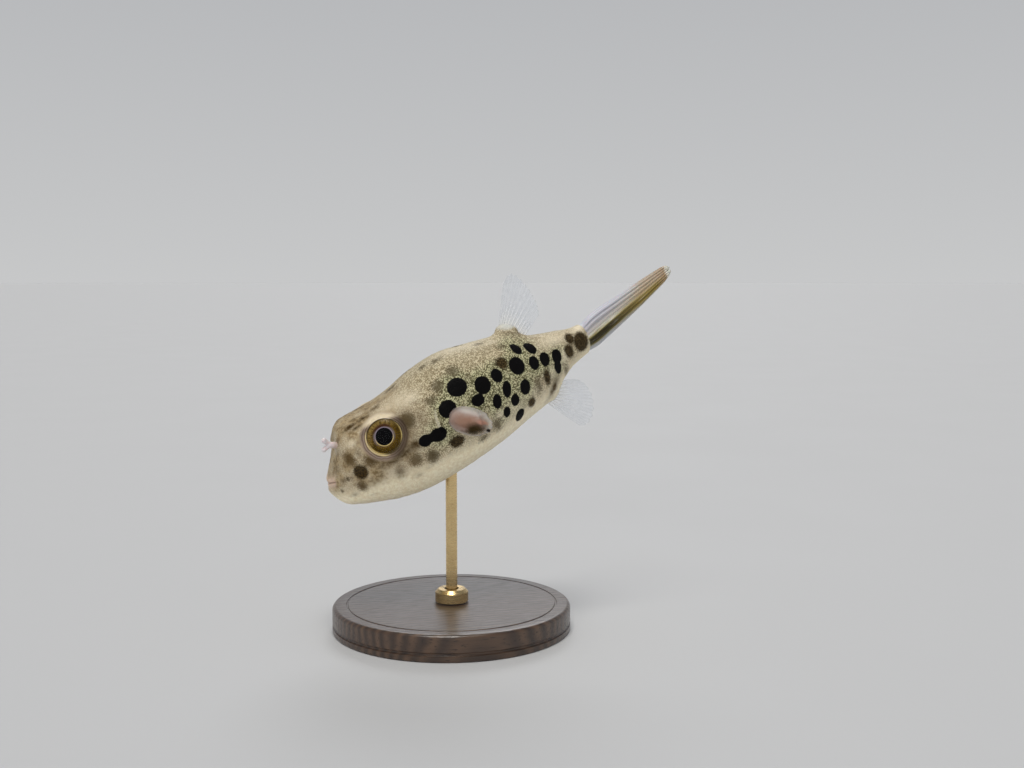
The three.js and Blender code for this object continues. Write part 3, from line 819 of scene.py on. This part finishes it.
def iris_finish():
    finish = Finish("iris", Specular_IOR_Level=0.04)
    ahead, above, _ = finish.kept("disc")
    disc = finish.node("CombineXYZ", [ahead, above])
    radius = finish.vector("LENGTH", disc, output="Value")
    spokes = finish.vector("MULTIPLY_ADD", finish.vector("NORMALIZE", disc), (9, 9, 9), disc)
    fibres = finish.clouds(spokes, 1.0, 3.0, 0.6)
    mottle = finish.clouds(disc, 2.2, 3.0, 0.6)
    topness = (above + ahead * 0.45).band(-0.6, 1.9)
    share = radius / IRIS_RADIUS
    gold = finish.ramp(
        share,
        (0.48, (0.10, 0.055, 0.008)), (0.58, (0.15, 0.085, 0.008)), (0.72, (0.105, 0.060, 0.005)),
        (0.84, (0.065, 0.038, 0.004)), (0.90, (0.15, 0.09, 0.014)), (0.94, (0.56, 0.44, 0.18)),
        (0.965, (0.56, 0.43, 0.18)), (0.985, (0.05, 0.03, 0.010)),
    )
    # the olive top lacks the gold's bright outer rim: painted shade under the brow
    olive = finish.ramp(
        share,
        (0.48, (0.045, 0.020, 0.012)), (0.56, (0.055, 0.026, 0.010)), (0.70, (0.175, 0.108, 0.026)),
        (0.84, (0.26, 0.175, 0.050)), (0.93, (0.15, 0.098, 0.030)), (0.985, (0.03, 0.02, 0.008)),
    )
    rear_foot = ahead * -0.37 - above * 0.92
    dark = (fibres * (mottle + 0.5)).band(0.36, 0.60, 0.75, 0.0)
    # next to the pupil: a wide grey ring but for its foot, a red-brown shadow over it, and a bright line
    shadow = radius.band(PUPIL_RADIUS + 0.50, PUPIL_RADIUS + 0.78, 0.85, 0.0)
    grey = radius + above.band(0.8, 1.9, 0.0, 0.26)
    grey = grey.band(PUPIL_RADIUS + 0.30, PUPIL_RADIUS + 0.60, 0.85, 0.0)
    off_line = finish.sum("ABSOLUTE", radius - (PUPIL_RADIUS + 0.09))
    shine = finish.mix(above.band(-1.0, 0.3), (0.60, 0.46, 0.18), (0.27, 0.22, 0.28))
    pupil = radius.band(PUPIL_RADIUS - 0.03, PUPIL_RADIUS + 0.03, 1.0, 0.0)
    # on gold that turns olive at the top, its bright outer rim given up there for painted shade under the
    # brow: the rim's shadow, dark flecks, and the rings round the pupil
    colour = finish.coats(
        finish.mix(topness, gold, olive),
        (rear_foot.band(2.0, 2.9, 0.0, 0.9) * share.band(0.80, 0.92), (0.050, 0.035, 0.016)),
        (dark * share.band(0.84, 0.92, 1.0, 0.2), (0.032, 0.018, 0.003)),
        (shadow * above.band(0.9, 1.7), (0.055, 0.020, 0.010)),
        (
            grey * above.band(-1.7, -0.4, 0.15, 1.0),
            finish.mix(mottle, (0.105, 0.080, 0.066), (0.20, 0.165, 0.15)),
        ),
        (off_line.band(0.03, 0.12, 0.85, 0.0), shine),
        (pupil, (0.002, 0.002, 0.0025)),
    )
    return finish.done(
        colour, Roughness=pupil.band(0.2, 0.8, 0.36, 0.5), Normal=finish.relief(fibres, 0.06)
    )


def cornea_finish():
    finish = Finish("clear cornea", IOR=2.2)
    smear = finish.clouds(finish.place(), 0.5)
    return finish.done(
        finish.mix(smear, (0.004, 0.004, 0.005), (0.008, 0.008, 0.010)),
        Alpha=smear.band(0.3, 0.7, 0.016, 0.024),
        Roughness=smear.band(0.3, 0.7, 0.10, 0.14),
    )


def build_eyes():
    iris, clear = iris_finish(), cornea_finish()
    for name, side in SIDES:
        ball = eye_shell(f"eyeball_{name}", side, iris_front, iris_back, rings=72)
        hand_over(ball, iris, "eye", f"eye_{name}")
        cornea = eye_shell(f"cornea_{name}", side, dome_front, dome_back, rings=64)
        hand_over(cornea, clear, "eye")


# ======== fins ========
def blade(name, place, thick, across, along):
    """A thin closed blade. place gives its middle surface at u across and v outwards, thick its
    thickness there."""
    bm = bmesh.new()
    bmesh.ops.create_grid(bm, x_segments=across, y_segments=along, size=0.5)
    grown = bmesh.ops.extrude_face_region(bm, geom=bm.faces[:])
    raised = [part for part in grown["geom"] if isinstance(part, bmesh.types.BMVert)]
    bmesh.ops.translate(bm, verts=raised, vec=(0, 0, 1))
    piece = new_piece(name, bm)
    grid = read_points(piece.data)
    u, v = grid[:, 0] + 0.5, grid[:, 1] + 0.5
    side = np.where(grid[:, 2] > 0.5, 0.5, -0.5)
    step = 1e-3
    du = place(np.minimum(u + step, 1), v) - place(np.maximum(u - step, 0), v)
    dv = place(u, np.minimum(v + step, 1)) - place(u, np.maximum(v - step, 0))
    normal = np.cross(du, dv)
    normal /= np.maximum(np.linalg.norm(normal, axis=1), 1e-9)[:, None]
    points = place(u, v) + normal * (side * thick(u, v))[:, None]
    move_points(piece.data, on_stand(points))
    face_outwards(piece)
    return piece, u, v


def rays(u, v, count, fork=0.55):
    """1 on the fin's rays and 0 between them. Each ray forks in two past a share of its length."""
    stem = ripple(u * count - 0.5) ** 3
    twins = ripple(2 * u * count - 0.5) ** 2
    forked = smooth((v - fork) / 0.3)
    return stem * (1 - forked) + 0.8 * twins * forked


def middle_fin(name, root, a, b, lean, reach, side, count):
    """A fan of rays in the fish's middle plane, embedded in its fleshy root. a and b are the front and
    hind ends of its foot, lean the slant of its rays there, and reach the length of its rays."""
    a, b = np.array(a, float), np.array(b, float)
    sunk, wave = 0.7, 0.5  # how deep its foot lies in the skin, and how far it waves aside

    def place(u, v):
        x = root[0] + (root[1] - root[0]) * u
        foot = body_skin(x, side * math.pi / 2) - np.array([0, 0, side * sunk])
        angle = np.radians(lean[0] + (lean[1] - lean[0]) * smooth(u))
        way = np.stack([np.sin(angle), 0 * u, side * np.cos(angle)], -1)
        length = reach(u) * (1 - 0.03 * np.abs(np.sin(math.pi * u * count)))
        tip = a + (b - a) * u[:, None] + way * length[:, None]
        tip[:, 1] += sweep(tip[:, 0]) + side * wave * np.sin(u * math.pi * 1.5)
        points = foot + (tip - foot) * v[:, None]
        points[:, 1] = foot[:, 1] + (tip[:, 1] - foot[:, 1]) * v * v
        points[:, 1] += 0.05 * np.sin(2 * math.pi * u * count) * v
        return points

    def thick(u, v):
        return 0.09 + (0.42 * (1 - v) ** 1.5 + 0.10) * rays(u, v, count) * (1 - 0.6 * v)

    piece, u, v = blade(name, place, thick, count * 12, 48)
    keep(piece.data, "fin", v, rays(u, v, count))
    return piece


def dorsal_reach(u):
    """Length of a ray of the dorsal fin, from u = 0 at the front of the fin to 1 at its end."""
    return 14.6 - 9.7 * u - 5.2 * (1 - u) ** 8


def anal_reach(u):
    """The same for the anal fin."""
    return 11.6 - 7.7 * u**1.9 - 2.4 * (1 - u) ** 6


def clear_finish():
    finish = Finish("clear fin", Coat_Weight=0.2, Coat_Roughness=0.15)
    v, ray, _ = finish.kept("fin")
    haze = finish.clouds(finish.place(), 0.9, 3.0, 0.6)
    film = haze.band(0.3, 0.7, 0.11, 0.17) + v.band(0.0, 0.14, 0.7, 0.0)
    strong = ray * v.band(0.0, 0.55, 0.6, 0.10)
    ray_colour = finish.mix(ray, (0.56, 0.62, 0.70), (0.84, 0.86, 0.88))
    return finish.done(
        finish.mix(v.band(0.05, 0.45, 1.0, 0.0), ray_colour, (0.86, 0.85, 0.82)),
        Alpha=finish.sum("ADD", film, strong, clamp=True),
        Roughness=haze.band(0.3, 0.7, 0.25, 0.4),
    )


def pectoral_fin(name, side):
    """A cupped fleshy paddle with a round outline. Its front end lies in the skin, its rays fan out from
    there and its hind end stands off the body."""
    root_x, root_angle = 24.5, 12
    long_half, high_half, low_half, squareness = 3.75, 2.75, 2.45, 2.35
    hang = math.radians(-34.5)  # below the body's own line
    rays_from = 1.1
    piece, ball, turn, polar = unit_ball(name, around=208, rings=96)
    v = 1 - np.abs(2 * polar - 1)
    c, s = np.cos(turn), np.sin(turn)
    ray = (0.5 + 0.5 * np.cos(20 * turn)) * smooth(c + 0.9) * smooth((v - 0.35) / 0.4)
    along = long_half * (1 + bent(c, 2 / squareness))
    notch = 0.055 * mound(turn - 0.62, 0.16) + 0.03 * mound(turn - 1.25, 0.2) + 0.03 * mound(turn + 0.75, 0.2)
    frayed = 1 - notch - 0.02 * (1 - ray) * smooth(c + 0.3) * v**4
    p = rays_from + (along - rays_from) * frayed * v
    q = np.where(s > 0, high_half, low_half) * bent(s, 2 / squareness) * frayed * v
    away = 0.44 * p - 0.05 - 0.07 * q**2 + 0.5 * smooth(p / 3) * smooth((7 - p) / 3)
    away += 0.16 * np.sin(1.9 * q + 1) * smooth((p - 2) / 3) + 0.12 * np.sin(2.6 * turn + 1) * v**3
    crease = p + 0.5 * q - 6.0  # a fold across the blade near its end
    away += 0.22 * mound(crease + 0.55, 0.4) - 0.25 * mound(crease, 0.25) + 0.18 * mound(crease - 0.6, 0.45)
    thick = 0.16 + 1.15 * smooth((0.85 - v) / 0.65) * smooth((8.2 - p) / 4) + 0.05 * ray
    thick *= arc(v**12)
    points = body_skin(root_x, math.radians(root_angle)) + np.stack([
        p * math.cos(hang) - q * math.sin(hang),
        away + np.sign(ball[:, 2]) * thick / 2,
        p * math.sin(hang) + q * math.cos(hang),
    ], -1)
    points[:, 1] *= side
    move_points(piece.data, on_stand(points))
    face_outwards(piece)
    keep(piece.data, "fin", p, q, v)
    keep(piece.data, "rays", ray)
    return piece


def fleshy_finish():
    finish = Finish(
        "fleshy fin", Subsurface_Weight=0.25, Subsurface_Radius=(1.0, 0.6, 0.45), Subsurface_Scale=0.0008,
        Specular_IOR_Level=0.12,
    )
    along, across, v = finish.kept("fin")
    ray = finish.kept("rays")[0]
    where = finish.place()
    blotch = finish.clouds(where, 0.8, 3.0, 0.6)
    fine = finish.clouds(where, 3.5, 2.0, 0.6)
    spot = finish.node("CombineXYZ", [along, across])

    def around(at, stretch, blur):
        """1 near a place on the blade, fading out past its stretch."""
        scaled = finish.vector("DIVIDE", finish.vector("SUBTRACT", spot, (*at, 0)), (*stretch, 1))
        distance = finish.vector("LENGTH", scaled, output="Value")
        return (distance + (blotch - 0.5) * 0.8).band(1 - blur, 1 + blur, 1.0, 0.0)

    pale = finish.sum("MAXIMUM", v.band(0.78, 0.97, 0.0, 0.9), across.band(1.2, 2.1, 0.0, 0.75))
    # painted shade: a dark brown patch over the lower part of the cupped blade
    lower_painted_shade = around((4.75, -1.25), (1.75, 1.45), 0.6) * v.band(0.82, 1.0, 1.0, 0.3)
    dot = around((7.0, -0.66), (0.40, 0.32), 0.3)
    # on lilac: a red-brown heart, an olive end, a pale margin, faint rays, a brown patch of painted shade on
    # the lower part of the blade, a pink streak and a dark dot
    colour = finish.coats(
        finish.mix(blotch, (0.30, 0.23, 0.20), (0.42, 0.35, 0.31)),
        (around((3.4, -0.2), (2.9, 1.5), 0.55), (0.30, 0.175, 0.125)),
        (around((6.6, 0.5), (0.7, 0.8), 0.5), (0.23, 0.20, 0.155)),
        (pale * along.band(0.2, 2.4), (0.60, 0.56, 0.52)),
        (ray * 0.08, (0.70, 0.64, 0.58)),
        (lower_painted_shade, finish.mix(blotch, (0.018, 0.010, 0.002), (0.055, 0.034, 0.008))),
        (around((5.5, 0.55), (1.0, 0.36), 0.6), (0.40, 0.22, 0.165)),
        (dot, (0.008, 0.006, 0.004)),
    )
    return finish.done(
        colour,
        Alpha=finish.sum("MAXIMUM", v.band(0.60, 1.0, 1.0, 0.35), dot),
        Roughness=fine.band(0.3, 0.7, 0.3, 0.45),
        Normal=finish.relief(fine, 0.03),
    )


def tail_blade():
    """The closed tail fin: rays folded together into a slim blade with a blunt, frayed tip."""
    piece, _, turn, polar = unit_ball("tail_rays", around=160, rings=180)
    v = 1 - polar
    rise = np.sin(turn)
    start, end = LENGTH - 1.3, LENGTH + TAIL_FIN + 0.7
    x = start + (end - start) * v
    out = np.clip((x - LENGTH) / TAIL_FIN, 0, 1)
    high = (3.25 - 1.1 * out - 0.8 * out**3) * (0.84 + 0.16 * smooth((x - LENGTH + 1) / 3.5))
    high += 0.38 * mound(out - 0.18, 0.2) * smooth(rise * 2)
    wide = 1.2 - 0.78 * out
    closed = arc(np.clip(v - 0.955, 0, 1) / 0.045) * smooth(v / 0.02)
    tip_round = arc(np.clip(v - 0.90, 0, 1) / 0.16)
    folds = np.cos(2 * math.pi * (3.4 * rise + 0.25)) * smooth((1 - np.abs(rise)) / 0.3)
    fine = np.cos(2 * math.pi * (10.5 * rise + 0.1))
    pleats = (0.13 * folds + 0.035 * fine) * smooth(v / 0.1)
    frayed = 1 - 0.04 * smooth((v - 0.9) / 0.1) * ripple(4 * rise)
    points = np.stack([
        start + (x - start) * frayed,
        sweep(x) + (wide * np.cos(turn) + np.sign(np.cos(turn)) * pleats) * closed,
        2.0 + 4.3 * out + high * tip_round * closed * bent(rise, 0.92),
    ], -1)
    move_points(piece.data, on_stand(points))
    keep(piece.data, "fin", 0.5 + 0.5 * rise, out)
    return piece


def tail_finish():
    finish = Finish(
        "closed tail fin", Coat_Weight=0.12, Coat_Roughness=0.18, Specular_IOR_Level=0.2,
        Subsurface_Weight=0.08, Subsurface_Scale=0.0008,
    )
    height, out, _ = finish.kept("fin")
    hair = finish.clouds(finish.node("CombineXYZ", [height * 26.0, out * 5.0]), 1.0, 3.0, 0.65)
    fine = finish.clouds(finish.place(), 3.0, 2.0, 0.6)
    wander = height + (hair - 0.5) * 0.12
    # stripes up the fin's height: a pale lower edge, painted shade over the dark band in the lower half, a
    # painted highlight along the white streak just above the middle, then greys to the top edge
    root_bands_painted_light = finish.ramp(
        wander,
        (0.0, (0.50, 0.52, 0.57)), (0.15, (0.44, 0.44, 0.42)), (0.21, (0.14, 0.12, 0.040)),
        (0.28, (0.030, 0.023, 0.006)), (0.41, (0.034, 0.026, 0.006)), (0.47, (0.20, 0.165, 0.035)),
        (0.535, (0.86, 0.82, 0.70)), (0.60, (0.46, 0.43, 0.40)), (0.80, (0.43, 0.42, 0.46)),
        (1.0, (0.56, 0.57, 0.64)),
    )
    # the same painted shade over the dark band in the lower half, over the tip's own tan and gold
    tip_bands_painted_light = finish.ramp(
        wander,
        (0.0, (0.46, 0.45, 0.38)), (0.15, (0.36, 0.27, 0.075)), (0.29, (0.16, 0.115, 0.022)),
        (0.40, (0.40, 0.30, 0.090)), (0.56, (0.44, 0.35, 0.21)), (0.80, (0.48, 0.44, 0.38)),
        (1.0, (0.52, 0.52, 0.54)),
    )
    threads = hair.band(0.28, 0.46, 0.55, 0.0) * height.band(0.45, 0.75, 1.0, 0.45)
    # on the stripes, which hold painted light as well as colour: tan over the outer half, a brown end, a
    # whitish edge, pale hairs and dark threads
    colour = finish.coats(
        finish.mix(out.band(0.20, 0.72), root_bands_painted_light, tip_bands_painted_light),
        (out.band(0.52, 0.72, 0.0, 0.75) * height.band(0.38, 0.58), (0.46, 0.35, 0.235)),
        (out.band(0.80, 0.95, 0.0, 0.7), (0.42, 0.30, 0.19)),
        (out.band(0.955, 0.985), (0.74, 0.72, 0.64)),
        (hair.band(0.55, 0.78, 0.0, 0.30), (0.66, 0.66, 0.66)),
        (threads * out.band(0.70, 0.95, 1.0, 0.2), (0.070, 0.058, 0.030)),
    )
    return finish.done(
        colour, Roughness=fine.band(0.3, 0.7, 0.28, 0.42), Normal=finish.relief(hair, 0.05)
    )


def build_fins():
    clear, fleshy = clear_finish(), fleshy_finish()
    dorsal = middle_fin(
        "dorsal_rays", (41.0, 45.7), (40.8, 0, 10.6), (45.8, 0, 8.0), (29, 58), dorsal_reach, 1, 11
    )
    hand_over(dorsal, clear, "clear_fin", "dorsal_fin")
    anal = middle_fin(
        "anal_rays", (44.9, 49.5), (44.9, 0, -6.6), (49.0, 0, -4.0), (36, 76), anal_reach, -1, 10
    )
    hand_over(anal, clear, "clear_fin", "anal_fin")
    for name, side in SIDES:
        paddle = pectoral_fin(f"pectoral_paddle_{name}", side)
        hand_over(paddle, fleshy, "fleshy_fin", f"pectoral_fin_{name}")
    hand_over(tail_blade(), tail_finish(), "ray_fin", "tail_fin")


# ======== nasal tentacles ========
# root, fork, upper flap, lower flap
TENTACLES = {
    "left": ((4.9, -2.5, 4.1), (3.2, -3.1, 5.15), (2.5, -3.35, 6.5), (1.85, -3.25, 4.85)),
    "right": ((4.9, 2.5, 4.1), (5.4, 4.6, 4.3), (6.6, 5.2, 5.2), (6.3, 6.1, 3.9)),
}
TENTACLE_REACH = 3.6


def tentacle(name, root, fork, upper, lower):
    """A stalk that forks into two knobbed flaps, blended into one skin."""
    bm = bmesh.new()
    last = 8
    limbs = ((root, fork, 0.60, 0.62), (fork, upper, 0.44, 0.52), (fork, lower, 0.42, 0.50))
    for start, end, thin, knob in limbs:
        for k in range(last + 1):
            radius = thin + (knob - thin) * float(smooth((k / last - 0.45) / 0.55))
            at = Matrix.Translation(Vector(start).lerp(Vector(end), k / last))
            bmesh.ops.create_uvsphere(bm, u_segments=16, v_segments=10, radius=radius, matrix=at)
    piece = new_piece(name, bm)
    remesh = piece.modifiers.new("blend", "REMESH")
    remesh.mode = "VOXEL"
    remesh.voxel_size = 0.09
    piece.modifiers.new("soften", "SMOOTH").iterations = 12
    graph = bpy.context.evaluated_depsgraph_get()
    blended = bpy.data.meshes.new_from_object(piece.evaluated_get(graph))
    piece.modifiers.clear()
    piece.data = blended
    points = read_points(blended)
    lumps = np.array([noise.noise(Vector(p) * 2.4) for p in points])
    points = points + read_points(blended, "normal") * (0.07 * lumps)[:, None]
    out = np.linalg.norm(points - np.array(root), axis=1) / TENTACLE_REACH
    move_points(blended, on_stand(points))
    keep(blended, "fin", np.clip(out, 0, 1))
    return piece


def tentacle_finish():
    finish = Finish(
        "pink tentacle", Subsurface_Weight=0.3, Subsurface_Radius=(1.0, 0.6, 0.5), Subsurface_Scale=0.001,
        Coat_Weight=0.2, Coat_Roughness=0.2,
    )
    out = finish.kept("fin")[0]
    speck = finish.clouds(finish.place(), 2.6, 3.0, 0.6)
    pink = finish.mix(out.band(0.1, 0.7), (0.56, 0.43, 0.37), (0.68, 0.62, 0.63))
    return finish.done(
        finish.mix(speck.band(0.5, 0.75, 0.0, 0.5), pink, (0.66, 0.55, 0.52)),
        Roughness=speck.band(0.3, 0.7, 0.32, 0.5),
        Normal=finish.relief(speck, 0.05),
    )


def build_tentacles():
    pink = tentacle_finish()
    for name, points in TENTACLES.items():
        hand_over(tentacle(f"nostril_{name}", *points), pink, "tentacle", f"nasal_tentacle_{name}")


# ======== stand ========
def turned(name, outline, around=160):
    """Spins an outline of (radius, height) in metres about the stand's axis."""
    bm = bmesh.new()
    verts = [bm.verts.new((r, 0, z)) for r, z in outline]
    for a, b in zip(verts, verts[1:]):
        bm.edges.new((a, b))
    bmesh.ops.spin(
        bm, geom=bm.verts[:] + bm.edges[:], cent=(0, 0, 0), axis=(0, 0, 1), angle=2 * math.pi,
        steps=around, use_merge=True,
    )
    bmesh.ops.remove_doubles(bm, verts=bm.verts[:], dist=1e-6)
    bmesh.ops.recalc_face_normals(bm, faces=bm.faces[:])
    return new_piece(name, bm)


def rounded(corner, radius, start, end, steps=6):
    """Points on a quarter circle of an outline about a centre, from one angle to another in degrees."""
    return [
        (corner[0] + radius * math.cos(a), corner[1] + radius * math.sin(a))
        for a in np.radians(np.linspace(start, end, steps + 1))
    ]


def build_stand():
    low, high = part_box("stand_base")
    radius, top = high.x, high.z
    edge, foot, bead = 0.8 * MM, 0.4 * MM, 0.35 * MM
    bead_at = low.z + 1.5 * MM
    outline = [(0, low.z)]
    outline += rounded((radius - foot, low.z + foot), foot, -90, 0, 3)
    outline += [(radius, bead_at - bead)]
    outline += rounded((radius, bead_at), bead, -90, -270, 8)[1:-1]
    outline += [(radius, bead_at + bead)]
    outline += rounded((radius - edge, top - edge), edge, 0, 90)
    # a fine groove round the top
    groove = 0.15 * MM
    for inwards, down in ((2.6, 0), (2.7, groove), (3.0, groove), (3.1, 0)):
        outline += [(radius - inwards * MM, top - down)]
    outline += [(0, top)]
    base = turned("display_base", outline)
    hand_over(base, wood_finish(), "base_wood", "stand_base")
    base.data.set_sharp_from_angle(angle=math.radians(30))
    brass = brass_finish()
    for name in ("stand_collar", "stand_rod"):
        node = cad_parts[name]
        node.data.materials.clear()
        node.data.materials.append(brass)


def wood_finish():
    finish = Finish("dark hardwood", Coat_Weight=0.35, Coat_Roughness=0.18)
    grain_way = (0, 0, math.radians(8))
    waves = finish.clouds(finish.place((0.06, 1.0, 1.0), grain_way), 0.35, 4.0, 0.6)
    pores = finish.clouds(finish.place((0.25, 3.2, 3.2), grain_way), 1.0, 2.0, 0.6)
    grain = {
        "Vector": finish.place((0.05, 1.0, 1.0), grain_way),
        "Scale": 0.22,
        "Distortion": 6.0,
        "Detail": 3.0,
        "Detail Scale": 0.6,
    }
    lines = finish.node("TexWave", grain, 1, wave_type="BANDS", bands_direction="Y")
    colour = finish.coats(
        finish.ramp(
            lines, (0.0, (0.030, 0.017, 0.011)), (0.5, (0.060, 0.034, 0.020)), (1.0, (0.095, 0.054, 0.031))
        ),
        (waves.band(0.35, 0.7, 0.0, 0.6), (0.045, 0.026, 0.017)),
        (pores.band(0.60, 0.70, 0.0, 0.8), (0.014, 0.009, 0.007)),
    )
    return finish.done(
        colour, Roughness=pores.band(0.4, 0.7, 0.30, 0.50), Normal=finish.relief(pores, 0.06)
    )


def brass_finish():
    finish = Finish("brushed brass", Metallic=1.0)
    brushed = finish.clouds(finish.place((1, 1, 12)), 0.5, 2.0, 0.6)
    tarnish = finish.clouds(finish.place(), 0.25, 3.0, 0.6)
    return finish.done(
        finish.mix(tarnish.band(0.35, 0.75), (0.78, 0.58, 0.29), (0.62, 0.45, 0.22)),
        Roughness=brushed.band(0.3, 0.7, 0.20, 0.36),
        Normal=finish.relief(brushed, 0.012),
    )


# ======== studio ========
def paper_finish():
    finish = Finish("pale paper")
    tone = finish.clouds(finish.place(), 0.02)
    return finish.done(
        finish.mix(tone, (0.544, 0.549, 0.559), (0.556, 0.561, 0.571)),
        Roughness=tone.band(0.3, 0.7, 0.7, 0.8),
    )


def build_studio():
    bm = bmesh.new()
    floor_radius = 12
    bmesh.ops.create_circle(bm, cap_ends=True, segments=96, radius=floor_radius)
    floor = new_piece("studio_floor", bm)
    floor.data.materials.append(paper_finish())

    world = bpy.data.worlds.new("studio")
    bpy.context.scene.world = world
    world.use_nodes = True
    sky = world.node_tree.nodes["Background"]
    links, nodes = world.node_tree.links, world.node_tree.nodes
    heading = nodes.new("ShaderNodeTexCoord")
    parts = nodes.new("ShaderNodeSeparateXYZ")
    links.new(heading.outputs["Generated"], parts.inputs[0])
    paper_sky = nodes.new("ShaderNodeValToRGB")
    stops = paper_sky.color_ramp.elements
    stops[0].color = (0.568, 0.573, 0.577, 1)
    stops[1].position = 0.35
    stops[1].color = (0.42, 0.43, 0.45, 1)
    stops.new(0.7).color = (0.20, 0.21, 0.23, 1)
    links.new(parts.outputs[2], paper_sky.inputs[0])
    links.new(paper_sky.outputs[0], sky.inputs["Color"])

    middle = Vector((0, 0, SWIM_HEIGHT * MM))
    for name, place, angle, power, tint in (
        ("overhead", (-0.18, -0.38, 1.30), 0.45, 1.75, (1.0, 0.97, 0.91)),
        ("front", (-0.45, -0.75, 0.12), 0.6, 1.15, (1.0, 0.98, 0.95)),
        ("back", (0.30, 0.90, 0.80), 0.45, 0.65, (0.97, 0.98, 1.0)),
    ):
        lamp = bpy.data.lights.new(name, "SUN")
        lamp.angle = angle
        lamp.energy = power
        lamp.color = tint
        holder = set_out(name, lamp)
        holder.location = place
        holder.rotation_euler = (middle - holder.location).to_track_quat("-Z", "Y").to_euler()
        holder.visible_glossy = name != "front"


def set_camera():
    """The camera looks at the fish's left side from a little ahead and above."""
    azimuth, elevation = math.radians(-16), math.radians(5)
    distance, lens, sensor = 0.237, 43.45, 36.0
    back = Vector((
        math.sin(azimuth) * math.cos(elevation),
        -math.cos(azimuth) * math.cos(elevation),
        math.sin(elevation),
    ))
    facing = back.to_track_quat("Z", "Y")
    aside, above = 11.7 * MM, 5.43 * MM  # from the fish's balance point to the middle of the view
    aim = Vector((0, 0, SWIM_HEIGHT * MM)) + facing @ Vector((aside, above, 0))
    camera = bpy.data.cameras.new("camera")
    camera.lens = lens
    camera.sensor_width = sensor
    camera.clip_start = 0.005
    holder = set_out("camera", camera)
    holder.location = aim + back * distance
    holder.rotation_euler = facing.to_euler()
    bpy.context.scene.camera = holder


bpy.context.scene.view_settings.view_transform = "Standard"
set_camera()
build_skin()
build_eyes()
build_fins()
build_tentacles()
build_stand()
build_studio()
